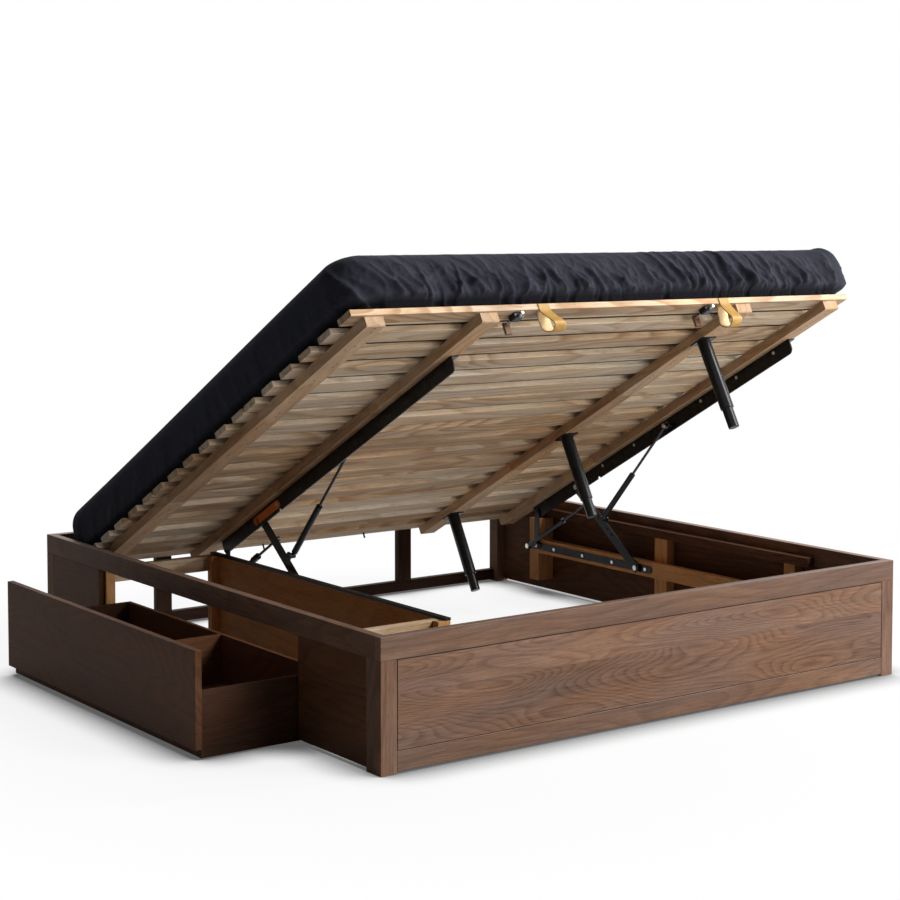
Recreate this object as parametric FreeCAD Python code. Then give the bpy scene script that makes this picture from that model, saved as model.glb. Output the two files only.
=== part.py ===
import FreeCAD, Part
import math
import os

os.makedirs("parts", exist_ok=True)

# All sizes are in mm. While it is built, the bed has its centre line at x = 0, the outer face
# of the foot end at y = 0, the head end at y = frame_length and the floor at z = 0.

# Bed frame
frame_width = 1885.0
frame_length = 1975.0
frame_height = 352.0
rail_height = 61.0
rail_thickness = 26.0
panel_thickness = 20.0
post_width = 50.0
foot_post_depth = 66.0
head_post_depth = 50.0
edge_ease = 1.6
groove = 2.0
panel_lift = 11.0
foot_bottom_rail_bottom = 6.0
foot_bottom_rail_top = 58.0
lower_board_share = 0.6223
head_bottom_rail_top = 46.0
head_upright_width = 57.0
head_upright_offsets = (53.0, 6.0)

# Drawer opening in the left side, and the storage bay behind it
opening_foot_end = 392.0
opening_from_head = 389.0
bay_depth = 442.5
bay_wall_thickness = 16.0
bay_wall_foot_end = 336.0
bay_wall_from_head = 309.0
bay_wall_gap = 8.0
bay_rail_depth = 26.0
bay_rail_height = 50.0
bay_rail_setback = 4.0
bay_post_size = 32.0
pine_post_width = 49.0

# Right wall framing
batten_thickness = 36.5
foot_batten_start = 357.0
foot_batten_width = 48.0
middle_batten_offset = 1.5
middle_batten_width = 62.0
thick_post_from_head = 300.0
thick_post_width = 53.0
thick_post_bottom = 54.0
ledger_depth = 30.0
ledger_start = 303.0
ledger_from_head = 285.0

# Lifting platform, measured from its foot edge (along) and from the underside of its slats (up)
slat_count = 18
slats_per_panel = 6
slat_width = 65.0
slat_thickness = 18.0
platform_side_gap = 3.5
platform_end_gap = 55.75
panel_joint_pitch = 78.0
bearer_width = 58.0
bearer_depth = 28.0
inner_bearer_offset = 3.0
outer_bearer_offset = 13.0
bearer_inset = 8.0
bearer_notch = 3.0
slats_below_top = 32.0
raised_head_gap = 158.69
raised_head_below_top = 88.6
tilt = 28.2

# Mattress and fitted sheet
mattress_overhang = 14.0
mattress_thickness = 176.0
mattress_corner = 50.0
mattress_least_corner = 30.0
mattress_draw_in = 32.0
mattress_low_edge = 44.0
mattress_top_inset = 46.0
mattress_top_edge = 58.0
mattress_crown = 8.0
mattress_crown_inset = 240.0
mattress_steps = 5
mattress_padding = 22.0
sheet_thickness = 2.5
sheet_hem_height = 4.0

# Lift mechanism. Layers are counted from the wall face that carries the base bar, towards
# the middle of the bed, for the left and the right mechanism alike.
left_wall_offset = 10.0
right_wall_offset = 89.5
base_bar_layer = (0.0, 4.0)
catch_layer = (0.2, 4.2)
arm_layer = (4.5, 8.5)
link_layer = (9.5, 13.5)
strut_middle = 26.0
strut_eye_layer = (20.0, 32.0)
running_gap = 0.4
pin_radius = 5.0
pin_clearance = 0.05
collar_radius = 10.0
pin_head_radius = 9.0
pin_head_height = 3.1
base_bar_height = 26.0
base_bar_length = 674.0
base_bar_from_head = 307.0
mechanism_rail_height = 52.0
arm_foot_end = 222.0
arm_from_head = 179.5
arm_bottom = -74.0
arm_flange_width = 24.0
arm_flange_from_head = 273.5
arm_flange_thickness = 3.0
arm_notch_from_head = 582.5
arm_notch_radius = 8.0
arm_bolt_count = 6
arm_bolt_ends = (78.0, 41.0)
main_link_length = 406.0
main_link_half_width = 17.0
rear_link_length = 128.0
rear_link_half_width = 13.0
main_pivot_from_head = 452.5
main_pivot_up = -54.0
rear_pivot_from_head = 202.5
rear_pivot_up = -48.0
strut_pivot_from_head = 1006.5
strut_pivot_up = -52.0
strut_lug_part = 0.54
strut_lug_offset = 24.0
damper_part = 0.78
damper_from_head = 327.0
link_rivet_parts = (0.40, 0.47, 0.62, 0.70)
strut_radius = 10.0
strut_rod_radius = 4.5
strut_cylinder_length = 236.0
strut_rod_inside = 22.0
damper_radius = 8.0
damper_rod_radius = 4.5
damper_body_length = 236.0
damper_collar_radius = 11.0
damper_eye_radius = 12.0
catch_from_head = 580.5
catch_up = -50.0
catch_length = 152.0
catch_half_width = 12.5

# Support legs on the inner right bearer
foot_leg_along = 205.0
middle_leg_offset = 11.25
head_leg_from_head = 198.5
leg_names = ("foot_end", "middle", "head_end")
leg_offset = 5.0
leg_plate = 58.0
leg_plate_thickness = 4.0
leg_radius = 20.5
leg_foot_shows = 62.0
leg_foot_radius = 16.5
leg_floor_gap = 6.0
leg_foot_inside = 90.0

# Pull straps, latches and head pins on the platform
strap_offsets = (186.0, 81.0)
strap_width = 38.0
strap_thickness = 3.0
strap_drop = 70.0
strap_front = 24.0
strap_back = 35.0
strap_straight = 6.0
strap_end = 13.0
latch_offsets = (104.0, 134.0)
latch_case_range = (12.0, 40.0)
latch_case_width = 32.0
latch_case_height = 17.0
latch_axis_up = -9.0
latch_bolt_radius = 5.0
latch_bolt_tip = -6.0
latch_tab_range = (74.0, 83.0)
latch_tab_drop = -36.0
keeper_radius = 6.0
keeper_depth = 13.0
head_pin_offsets = (250.0, 277.0)
head_pin_radius = 3.0
head_pin_length = 19.0
head_pin_from_head = 17.5

# Drawer, pulled out as in the photo
drawer_pull = 306.0
drawer_front_thickness = 20.0
drawer_front_bottom = 28.0
drawer_gap = 3.0
drawer_wall = 12.0
drawer_box_depth = 390.0
drawer_box_inset = 7.0
drawer_guide_gap = 0.3
drawer_box_bottom = 4.0
drawer_box_drop = 111.0
drawer_floor_bottom = 28.0
drawer_floor_top = 36.0
drawer_divider_offset = 13.0
roller_radius = 12.0
roller_width = 16.0
roller_bore = 3.05
roller_axle = 3.0
roller_inset_x = 44.0
roller_inset_y = 70.0
bracket_wall = 2.0
bracket_play = 0.5

# Widths that follow from the frame's width
half_width = frame_width / 2
inner_half_width = half_width - rail_thickness
slat_half_length = inner_half_width - platform_side_gap
mattress_half_width = slat_half_length
bay_wall_left = -half_width + bay_depth
bay_wall_right = bay_wall_left + bay_wall_thickness
left_wall_face = bay_wall_right + left_wall_offset
right_wall_face = half_width - right_wall_offset
inner_bearer = -left_wall_face - inner_bearer_offset
outer_bearer = right_wall_face - outer_bearer_offset
bearer_centres = {
    "outer_left": -outer_bearer,
    "inner_left": -inner_bearer,
    "inner_right": inner_bearer,
    "outer_right": outer_bearer,
}
leg_x = inner_bearer - leg_offset
strap_centres = (strap_offsets[0] - inner_bearer, inner_bearer - strap_offsets[1])
latch_centres = {"left": latch_offsets[0] - inner_bearer, "right": inner_bearer - latch_offsets[1]}
head_pin_centres = (head_pin_offsets[0] - inner_bearer, inner_bearer - head_pin_offsets[1])
head_upright_centres = (-inner_bearer - head_upright_offsets[0], inner_bearer + head_upright_offsets[1])

# Heights that follow from the frame's height
rail_bottom = frame_height - rail_height
foot_board_joint = foot_bottom_rail_top + lower_board_share * (rail_bottom - foot_bottom_rail_top)
lowered_slat_bottom = frame_height - slats_below_top
lowered_bearer_bottom = lowered_slat_bottom - bearer_depth
bay_wall_top = lowered_bearer_bottom - bay_wall_gap
leg_total_length = lowered_bearer_bottom - leg_floor_gap
leg_tube_length = leg_total_length - leg_foot_shows
drawer_front_top = rail_bottom - drawer_gap
drawer_box_top = rail_bottom - drawer_box_drop

# Lengths that follow from the frame's length
opening_head_end = frame_length - opening_from_head
bay_wall_head_end = frame_length - bay_wall_from_head
middle_batten_start = (frame_length - middle_batten_width) / 2 + middle_batten_offset
batten_ranges = (
    (foot_batten_start, foot_batten_start + foot_batten_width),
    (middle_batten_start, middle_batten_start + middle_batten_width),
)
thick_post_head_end = frame_length - thick_post_from_head
thick_post_foot_end = thick_post_head_end - thick_post_width
ledger_end = frame_length - ledger_from_head
base_bar_head_end = frame_length - base_bar_from_head
base_bar_foot_end = base_bar_head_end - base_bar_length
damper_foot_y = frame_length - damper_from_head
drawer_divider_y = (opening_foot_end + opening_head_end) / 2 - drawer_divider_offset
platform_length = frame_length - 2 * platform_end_gap
lowered_foot_edge = platform_end_gap
panel_count = slat_count // slats_per_panel
slat_run = platform_length - (panel_count - 1) * panel_joint_pitch - slat_width
slat_pitch = slat_run / (slat_count - panel_count)
arm_head_end = platform_length - arm_from_head
arm_flange_head_end = platform_length - arm_flange_from_head
arm_notch_along = platform_length - arm_notch_from_head
main_pivot = (platform_length - main_pivot_from_head, main_pivot_up)
rear_pivot = (platform_length - rear_pivot_from_head, rear_pivot_up)
strut_pivot = (platform_length - strut_pivot_from_head, strut_pivot_up)
catch_pivot = (platform_length - catch_from_head, catch_up)
leg_alongs = (foot_leg_along, platform_length / 2 + middle_leg_offset, platform_length - head_leg_from_head)
head_pin_along = platform_length - head_pin_from_head

# The raised platform, found from where its head edge stands
tilt_cosine = math.cos(math.radians(tilt))
tilt_sine = math.sin(math.radians(tilt))
raised_foot_edge_y = frame_length - raised_head_gap - platform_length * tilt_cosine
raised_foot_edge_z = frame_height - raised_head_below_top + platform_length * tilt_sine

# The drawer, and the middle of the whole object's box
drawer_front_outer = -half_width - drawer_pull
drawer_front_inner = drawer_front_outer + drawer_front_thickness
drawer_back = drawer_front_inner + drawer_box_depth
box_middle_x = (drawer_front_outer + half_width) / 2


def vector(x, y, z):
    return FreeCAD.Vector(x, y, z)


def block(x0, x1, y0, y1, z0, z1):
    """A plain box between two corners."""
    return Part.makeBox(x1 - x0, y1 - y0, z1 - z0, vector(x0, y0, z0))


def eased_block(x0, x1, y0, y1, z0, z1, size=edge_ease):
    """A board whose edges are all rounded over."""
    board = block(x0, x1, y0, y1, z0, z1)
    return board.makeFillet(size, board.Edges)


def round_bar(start, end, radius):
    """A solid cylinder from one point to another."""
    axis = end.sub(start)
    return Part.makeCylinder(radius, axis.Length, start, axis)


def layer_range(side, layer):
    """The x range of a mechanism layer, smaller value first."""
    if side == "left":
        return left_wall_face + layer[0], left_wall_face + layer[1]
    return right_wall_face - layer[1], right_wall_face - layer[0]


def layer_x(side, depth):
    """The x of one depth of the mechanism."""
    return left_wall_face + depth if side == "left" else right_wall_face - depth


def strip(start, end, half_width_of_strip, x_range):
    """A flat bar with round ends between two (y, z) points, its thickness along x."""
    along_y = end[0] - start[0]
    along_z = end[1] - start[1]
    length = math.hypot(along_y, along_z)
    side_y = -along_z / length * half_width_of_strip
    side_z = along_y / length * half_width_of_strip
    x = x_range[0]
    thickness = vector(x_range[1] - x_range[0], 0, 0)
    corners = [
        vector(x, start[0] + side_y, start[1] + side_z),
        vector(x, end[0] + side_y, end[1] + side_z),
        vector(x, end[0] - side_y, end[1] - side_z),
        vector(x, start[0] - side_y, start[1] - side_z),
    ]
    bar = Part.Face(Part.makePolygon(corners + corners[:1])).extrude(thickness)
    for point in (start, end):
        bar = bar.fuse(disc(point, half_width_of_strip, x_range))
    return bar.removeSplitter()


def disc(point, radius, x_range):
    """A cylinder along x through a (y, z) point."""
    start = vector(x_range[0], point[0], point[1])
    return Part.makeCylinder(radius, x_range[1] - x_range[0], start, vector(1, 0, 0))


def plate(points, x_range):
    """A flat plate with a polygon outline in y and z, its thickness along x."""
    corners = [vector(x_range[0], y, z) for y, z in points]
    outline = Part.makePolygon(corners + corners[:1])
    return Part.Face(outline).extrude(vector(x_range[1] - x_range[0], 0, 0))


def lowered_point(pivot):
    """Where a point of the platform (along, up) lies when the platform is down, as (y, z)."""
    return lowered_foot_edge + pivot[0], lowered_slat_bottom + pivot[1]


def raised_point(pivot):
    """Where a point of the platform (along, up) lies when the platform is raised, as (y, z)."""
    y = raised_foot_edge_y + pivot[0] * tilt_cosine + pivot[1] * tilt_sine
    z = raised_foot_edge_z - pivot[0] * tilt_sine + pivot[1] * tilt_cosine
    return y, z


def raised(shape):
    """A piece of the platform, drawn lying down, moved to where the raised platform holds it."""
    moved = shape.copy()
    moved.rotate(vector(0, lowered_foot_edge, lowered_slat_bottom), vector(1, 0, 0), -tilt)
    moved.translate(
        vector(0, raised_foot_edge_y - lowered_foot_edge, raised_foot_edge_z - lowered_slat_bottom)
    )
    return moved


def on_platform(x0, x1, along0, along1, up0, up1):
    """A box on the platform, still lying down."""
    return block(
        x0,
        x1,
        lowered_foot_edge + along0,
        lowered_foot_edge + along1,
        lowered_slat_bottom + up0,
        lowered_slat_bottom + up1,
    )


def fixed_pivot(pivot, length):
    """The wall pivot of a link that is this long in both positions of the platform."""
    up_y, up_z = raised_point(pivot)
    down_y, down_z = lowered_point(pivot)
    step_y = down_y - up_y
    step_z = down_z - up_z
    step = math.hypot(step_y, step_z)
    reach = math.sqrt(length ** 2 - (step / 2) ** 2)
    return (up_y + down_y) / 2 + reach * step_z / step, (up_z + down_z) / 2 - reach * step_y / step


def between(start, end, part, offset=0.0):
    """A (y, z) point part of the way along a line, set off to its left by an offset."""
    along_y = end[0] - start[0]
    along_z = end[1] - start[1]
    length = math.hypot(along_y, along_z)
    y = start[0] + part * along_y - offset * along_z / length
    z = start[1] + part * along_z + offset * along_y / length
    return y, z


def headed_pin(side, point, radius, start, collar_range, head_start, head_radius):
    """A pin along x with a spacer collar and a round head."""
    end = head_start + pin_head_height
    pin = disc(point, radius, layer_range(side, (start, end)))
    if collar_range is not None:
        pin = pin.fuse(disc(point, collar_radius, layer_range(side, collar_range)))
    pin = pin.fuse(disc(point, head_radius, layer_range(side, (head_start, end))))
    return pin.removeSplitter()


def save(node, *solids):
    """Writes one node, moved so that the middle of the whole object's box is over the origin."""
    shape = solids[0] if len(solids) == 1 else Part.makeCompound(list(solids))
    moved = shape.copy()
    moved.translate(vector(-box_middle_x, -frame_length / 2, 0))
    moved.exportStep("parts/" + node + ".step")


# Pivots of the lift mechanism in the raised position
main_top = raised_point(main_pivot)
main_foot = fixed_pivot(main_pivot, main_link_length)
rear_top = raised_point(rear_pivot)
rear_foot = fixed_pivot(rear_pivot, rear_link_length)
strut_top = raised_point(strut_pivot)
strut_foot = between(main_foot, main_top, strut_lug_part, strut_lug_offset)
damper_top = between(main_foot, main_top, damper_part)
damper_foot = (damper_foot_y, main_foot[1])
base_bar_middle = main_foot[1]
sides = ("left", "right")


def build_frame():
    """The walnut frame: foot end, two sides and the open head end."""
    foot_rail = eased_block(-half_width, half_width, 0, rail_thickness, rail_bottom, frame_height)
    keeper_z = lowered_slat_bottom + latch_axis_up
    for x in latch_centres.values():
        mouth = vector(x, rail_thickness - keeper_depth, keeper_z)
        foot_rail = foot_rail.cut(
            Part.makeCylinder(keeper_radius, keeper_depth, mouth, vector(0, 1, 0))
        )
    save("foot_top_rail", foot_rail)

    panel_half = half_width - post_width
    bottom_rail = eased_block(
        -panel_half, panel_half, 0, rail_thickness, foot_bottom_rail_bottom, foot_bottom_rail_top
    )
    save("foot_bottom_rail", bottom_rail)

    boards = []
    for low, high in ((foot_bottom_rail_top, foot_board_joint), (foot_board_joint, rail_bottom)):
        board = block(-panel_half, panel_half, 0, panel_thickness, low, high)
        grooved = [
            edge
            for edge in board.Edges
            if edge.BoundBox.YMax < 0.1 and abs(edge.CenterOfMass.z - foot_board_joint) > 1
        ]
        boards.append(board.makeChamfer(groove, grooved))
    save("foot_panel", *boards)

    foot_posts = []
    head_posts = []
    for side in (-1, 1):
        outer = side * half_width
        inner = side * (half_width - post_width)
        left, right = min(outer, inner), max(outer, inner)
        foot_posts.append(eased_block(left, right, 0, foot_post_depth, 0, rail_bottom))
        head_posts.append(
            eased_block(left, right, frame_length - head_post_depth, frame_length, 0, rail_bottom)
        )
    save("foot_posts", *foot_posts)
    save("head_posts", *head_posts)

    for name, outer, inner in (
        ("left_top_rail", -half_width, -inner_half_width),
        ("right_top_rail", inner_half_width, half_width),
    ):
        left, right = min(outer, inner), max(outer, inner)
        save(
            name,
            eased_block(left, right, rail_thickness, frame_length, rail_bottom, frame_height),
        )

    head_post_start = frame_length - head_post_depth
    panel_inner = half_width - panel_thickness
    for name, left, right, start, end in (
        ("left_foot_panel", -half_width, -panel_inner, foot_post_depth, opening_foot_end),
        ("left_head_panel", -half_width, -panel_inner, opening_head_end, head_post_start),
        ("right_panel", panel_inner, half_width, foot_post_depth, head_post_start),
    ):
        save(name, eased_block(left, right, start, end, panel_lift, rail_bottom))

    head_inner = frame_length - rail_thickness
    save(
        "head_top_rail",
        eased_block(
            -inner_half_width, inner_half_width, head_inner, frame_length, rail_bottom, frame_height
        ),
    )
    save(
        "head_bottom_rail",
        eased_block(
            -panel_half,
            panel_half,
            head_inner,
            frame_length,
            foot_bottom_rail_bottom,
            head_bottom_rail_top,
        ),
    )
    uprights = [
        eased_block(
            x - head_upright_width / 2,
            x + head_upright_width / 2,
            head_inner,
            frame_length,
            head_bottom_rail_top,
            rail_bottom,
        )
        for x in head_upright_centres
    ]
    save("head_uprights", *uprights)


def build_inner_framing():
    """The drawer bay, and the pine framing that carries the mechanism."""
    panel_inner = half_width - panel_thickness
    framing_top = rail_bottom - 0.5
    save(
        "bay_wall",
        block(
            bay_wall_left, bay_wall_right, bay_wall_foot_end, bay_wall_head_end, panel_lift, bay_wall_top
        ),
    )
    save(
        "bay_wall_cap",
        eased_block(
            bay_wall_left - 2,
            bay_wall_right + 2,
            bay_wall_foot_end,
            bay_wall_head_end,
            bay_wall_top,
            lowered_bearer_bottom - running_gap,
            1.0,
        ),
    )
    foot_rail_start = opening_foot_end - bay_rail_setback - bay_rail_depth
    head_rail_start = bay_wall_head_end - bay_rail_depth
    rails = [
        eased_block(
            left,
            bay_wall_left,
            start,
            start + bay_rail_depth,
            bay_wall_top - bay_rail_height,
            bay_wall_top,
        )
        for left, start in (
            (-panel_inner + bay_post_size, foot_rail_start),
            (-panel_inner, head_rail_start),
        )
    ]
    save("bay_rails", *rails)

    posts = [
        eased_block(
            bay_wall_left - bay_rail_depth, bay_wall_left, start, end, 0, bay_wall_top - running_gap
        )
        for start, end in (
            (bay_wall_foot_end, foot_rail_start),
            (head_rail_start - bay_rail_depth, head_rail_start),
        )
    ]
    guide_foot = opening_foot_end + drawer_gap + drawer_box_inset - drawer_guide_gap
    guide_head = opening_head_end - drawer_gap - drawer_box_inset + drawer_guide_gap
    for start in (guide_foot - pine_post_width, guide_head):
        posts.append(
            eased_block(
                -panel_inner,
                -panel_inner + bay_post_size,
                start,
                start + pine_post_width,
                0,
                framing_top,
            )
        )
    save("bay_posts", *posts)

    ledger_top = lowered_slat_bottom - running_gap
    save(
        "right_ledger",
        eased_block(
            inner_half_width - ledger_depth,
            inner_half_width,
            ledger_start,
            ledger_end,
            framing_top,
            ledger_top,
        ),
    )
    battens = [
        eased_block(
            panel_inner - batten_thickness, panel_inner, start, end, panel_lift, framing_top
        )
        for start, end in batten_ranges
    ]
    battens.append(
        eased_block(
            right_wall_face,
            panel_inner,
            thick_post_foot_end,
            thick_post_head_end,
            thick_post_bottom,
            bay_wall_top,
        )
    )
    save("right_battens", *battens)

    rail_low = base_bar_middle - mechanism_rail_height / 2
    rail_high = base_bar_middle + mechanism_rail_height / 2
    rails = [
        eased_block(
            bay_wall_right,
            left_wall_face,
            base_bar_foot_end - 30,
            bay_wall_head_end - 4,
            rail_low,
            rail_high,
        ),
        eased_block(
            right_wall_face,
            panel_inner - batten_thickness,
            batten_ranges[0][0],
            thick_post_foot_end,
            rail_low,
            rail_high,
        ),
    ]
    save("mechanism_rails", *rails)


def build_base_bars():
    """The two steel base bars with their bolts and fixed pivot pins."""
    bars = []
    bolts = []
    pins = []
    half = base_bar_height / 2
    foot_middle = base_bar_foot_end + half
    head_middle = base_bar_head_end - half
    length = head_middle - foot_middle
    for side in sides:
        x_range = layer_range(side, base_bar_layer)
        bars.append(
            strip((foot_middle, base_bar_middle), (head_middle, base_bar_middle), half, x_range)
        )
        for part in (0.03, 0.30, 0.55, 0.80):
            point = (foot_middle + part * length, base_bar_middle)
            bolts.append(disc(point, 6.0, layer_range(side, (base_bar_layer[1], base_bar_layer[1] + 2.5))))
        spacer = (base_bar_layer[1], link_layer[0] - 0.3)
        head_start = link_layer[1] + running_gap
        for point in (main_foot, rear_foot):
            pins.append(
                headed_pin(side, point, pin_radius, base_bar_layer[1], spacer, head_start, pin_head_radius)
            )
        damper_head = strut_eye_layer[1] + running_gap
        pins.append(
            headed_pin(
                side, damper_foot, pin_radius, base_bar_layer[1], None, damper_head, pin_head_radius
            )
        )
    save("base_bars", *bars)
    save("base_bolts", *bolts)
    save("base_pivot_pins", *pins)


def build_slats():
    """Eighteen slats in three panels, on four bearers that are spliced at the panel joints."""
    slats = []
    along = 0.0
    joints = []
    for index in range(slat_count):
        slat = on_platform(
            -slat_half_length, slat_half_length, along, along + slat_width, 0, slat_thickness
        )
        long_edges = [edge for edge in slat.Edges if edge.BoundBox.XLength > 1]
        slats.append(raised(slat.makeFillet(2.0, long_edges)))
        at_joint = (index + 1) % slats_per_panel == 0 and index + 1 < slat_count
        if at_joint:
            joints.append(along + (slat_width + panel_joint_pitch) / 2)
        along += panel_joint_pitch if at_joint else slat_pitch
    save("slats", *slats)

    ends = [bearer_inset] + joints + [platform_length - bearer_inset]
    for name, centre in bearer_centres.items():
        pieces = []
        for start, end in zip(ends[:-1], ends[1:]):
            piece = on_platform(
                centre - bearer_width / 2, centre + bearer_width / 2, start, end, -bearer_depth, 0
            )
            low_ends = [
                edge
                for edge in piece.Edges
                if edge.BoundBox.XLength > 1
                and edge.CenterOfMass.z < lowered_bearer_bottom + 1
            ]
            pieces.append(raised(piece.makeChamfer(bearer_notch, low_ends)))
        save("bearer_" + name, *pieces)


def build_arms():
    """The two steel lift arms under the inner left and outer right bearers, each with a welded flange."""
    webs = []
    flanges = []
    bolts = []
    pins = []
    for side in sides:
        x_range = layer_range(side, arm_layer)
        low = lowered_slat_bottom + arm_bottom
        high = lowered_bearer_bottom
        foot = lowered_foot_edge + arm_foot_end
        head = lowered_foot_edge + arm_head_end
        web = plate(((foot, low), (head, low), (head, high), (foot, high)), x_range)
        lower_corners = [
            edge
            for edge in web.Edges
            if edge.BoundBox.XLength > 1 and edge.CenterOfMass.z < low + 1
        ]
        web = web.makeFillet(20.0, lower_corners)
        notch = (lowered_foot_edge + arm_notch_along, low)
        web = web.cut(disc(notch, arm_notch_radius, x_range))
        flange = on_platform(
            x_range[1],
            x_range[1] + arm_flange_width,
            arm_foot_end,
            arm_flange_head_end,
            -bearer_depth - arm_flange_thickness,
            -bearer_depth,
        )
        webs.append(raised(web))
        flanges.append(raised(flange))

        face = arm_layer[1]
        first_bolt = arm_foot_end + arm_bolt_ends[0]
        bolt_run = arm_notch_along - arm_bolt_ends[1] - first_bolt
        for index in range(arm_bolt_count):
            along = first_bolt + bolt_run * index / (arm_bolt_count - 1)
            point = lowered_point((along, -bearer_depth - 13))
            bolts.append(raised(disc(point, 5.5, layer_range(side, (face, face + 2.2)))))

        spacer = (face, link_layer[0] - 0.3)
        head_start = link_layer[1] + running_gap
        pins.append(
            headed_pin(side, main_top, pin_radius, face, spacer, head_start, pin_head_radius)
        )
        strut_head = strut_eye_layer[1] + running_gap
        pins.append(
            headed_pin(side, strut_top, strut_rod_radius, face, None, strut_head, pin_head_radius - 1)
        )
        catch_point = raised_point(catch_pivot)
        back = catch_layer[0] - 0.3
        rivet = disc(catch_point, 4.0, layer_range(side, (back - 2.6, arm_layer[0])))
        rivet = rivet.fuse(disc(catch_point, 7.0, layer_range(side, (back - 2.6, back))))
        pins.append(rivet.removeSplitter())
    save("lift_arms", *webs, *flanges)
    save("arm_bolts", *bolts)
    save("arm_pivot_pins", *pins)


def build_links():
    """Main links, rear links, gas struts and dampers, left and right."""
    main_links = []
    rear_links = []
    rods = []
    cylinders = []
    damper_bodies = []
    damper_rods = []
    hole = pin_radius + pin_clearance
    for side in sides:
        x_range = layer_range(side, link_layer)
        face = link_layer[1]
        link = strip(main_foot, main_top, main_link_half_width, x_range)
        lug_start = between(main_foot, main_top, strut_lug_part)
        link = link.fuse(strip(lug_start, strut_foot, 13.0, x_range))
        for point in (main_foot, main_top):
            link = link.cut(disc(point, hole, x_range))
        for part in link_rivet_parts:
            point = between(main_foot, main_top, part)
            link = link.fuse(disc(point, 5.0, layer_range(side, (face, face + 2.0))))
        main_links.append(link.removeSplitter())

        rear = strip(rear_foot, rear_top, rear_link_half_width, x_range)
        rear = rear.cut(disc(rear_foot, hole, x_range))
        rear = rear.fuse(disc(rear_top, 9.0, layer_range(side, (face, face + pin_head_height))))
        boss = (arm_layer[1] + running_gap, link_layer[0])
        rear = rear.fuse(disc(rear_top, 8.0, layer_range(side, boss)))
        rear_links.append(rear.removeSplitter())

        middle = layer_x(side, strut_middle)
        eye = layer_range(side, strut_eye_layer)
        stud = layer_range(side, (face + running_gap, strut_eye_layer[1]))

        top = vector(middle, strut_top[0], strut_top[1])
        foot = vector(middle, strut_foot[0], strut_foot[1])
        axis = foot.sub(top).normalize()
        span = foot.sub(top).Length
        mouth = top + axis * (span - strut_cylinder_length)
        rod = round_bar(top + axis * 6, mouth + axis * strut_rod_inside, strut_rod_radius)
        rod = rod.fuse(disc(strut_top, 10.0, eye))
        rods.append(rod.cut(disc(strut_top, strut_rod_radius + pin_clearance, eye)).removeSplitter())

        tube = round_bar(mouth, foot - axis * 16, strut_radius)
        bore_end = foot - axis * 40
        tube = tube.cut(round_bar(mouth, bore_end, strut_rod_radius + pin_clearance))
        tube = tube.fuse(round_bar(foot - axis * 16, foot, 5.0))
        cylinders.append(tube.fuse(disc(strut_foot, 9.0, stud)).removeSplitter())

        low = vector(middle, damper_foot[0], damper_foot[1])
        high = vector(middle, damper_top[0], damper_top[1])
        axis = high.sub(low).normalize()
        mouth = low + axis * damper_body_length
        body = round_bar(low + axis * (pin_head_radius + 1.5), mouth, damper_radius)
        collar_end = mouth - axis * 34
        body = body.fuse(round_bar(collar_end, mouth, damper_collar_radius))
        body = body.fuse(disc(damper_foot, damper_eye_radius, eye))
        body = body.cut(disc(damper_foot, hole, eye))
        bore = round_bar(low + axis * 40, mouth, damper_rod_radius + pin_clearance)
        damper_bodies.append(body.cut(bore).removeSplitter())

        slim = round_bar(mouth - axis * 40, high, damper_rod_radius)
        damper_rods.append(slim.fuse(disc(damper_top, 8.0, stud)).removeSplitter())
    save("main_links", *main_links)
    save("rear_links", *rear_links)
    save("gas_rods", *rods)
    save("gas_cylinders", *cylinders)
    save("damper_bodies", *damper_bodies)
    save("damper_rods", *damper_rods)


def build_catches():
    """The orange safety catch on the outer face of each lift arm."""
    start = lowered_point(catch_pivot)
    end = (start[0] + catch_length, start[1])
    for side in sides:
        x_range = layer_range(side, catch_layer)
        hook = strip(start, end, catch_half_width, x_range)
        hook = hook.cut(disc(start, 4.0 + pin_clearance, x_range))
        slot_top = (end[0] - 12, end[1] + 3)
        slot_end = (end[0] - 12, end[1] - 2 * catch_half_width)
        hook = hook.cut(strip(slot_top, slot_end, 4.5, x_range))
        save("safety_catch_" + side, raised(hook))


def rounded_outline(half_x, half_y, middle_y, z, corner):
    """A closed rounded rectangle of lines and quarter arcs, lying flat."""
    edges = []
    corners = ((1, 1, 0), (-1, 1, 90), (-1, -1, 180), (1, -1, 270))
    for index, (side_x, side_y, turn) in enumerate(corners):
        centre = vector(side_x * (half_x - corner), middle_y + side_y * (half_y - corner), z)
        edges.append(Part.makeCircle(corner, centre, vector(0, 0, 1), turn, turn + 90))
        next_x, next_y, next_turn = corners[(index + 1) % len(corners)]
        next_centre = vector(next_x * (half_x - corner), middle_y + next_y * (half_y - corner), z)
        way = math.radians(turn + 90)
        side_step = vector(math.cos(way), math.sin(way), 0) * corner
        edges.append(Part.makeLine(centre + side_step, next_centre + side_step))
    return Part.Wire(edges)


def mattress_profile(grow):
    """Pairs of height and inset up the mattress side, grown outward by some thickness."""
    pairs = []
    top_edge_start = mattress_thickness - mattress_crown - mattress_top_edge
    for step in range(mattress_steps + 1):
        turn = math.radians(90 * step / mattress_steps)
        height = mattress_low_edge * (1 - math.cos(turn)) - grow * math.cos(turn)
        pairs.append((height, mattress_draw_in * (1 - math.sin(turn)) - grow * math.sin(turn)))
    for step in range(mattress_steps + 1):
        turn = math.radians(90 * step / mattress_steps)
        height = top_edge_start + mattress_top_edge * math.sin(turn) + grow * math.sin(turn)
        pairs.append((height, mattress_top_inset * (1 - math.cos(turn)) - grow * math.cos(turn)))
    pairs.append((mattress_thickness + grow, mattress_crown_inset))
    return pairs


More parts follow.
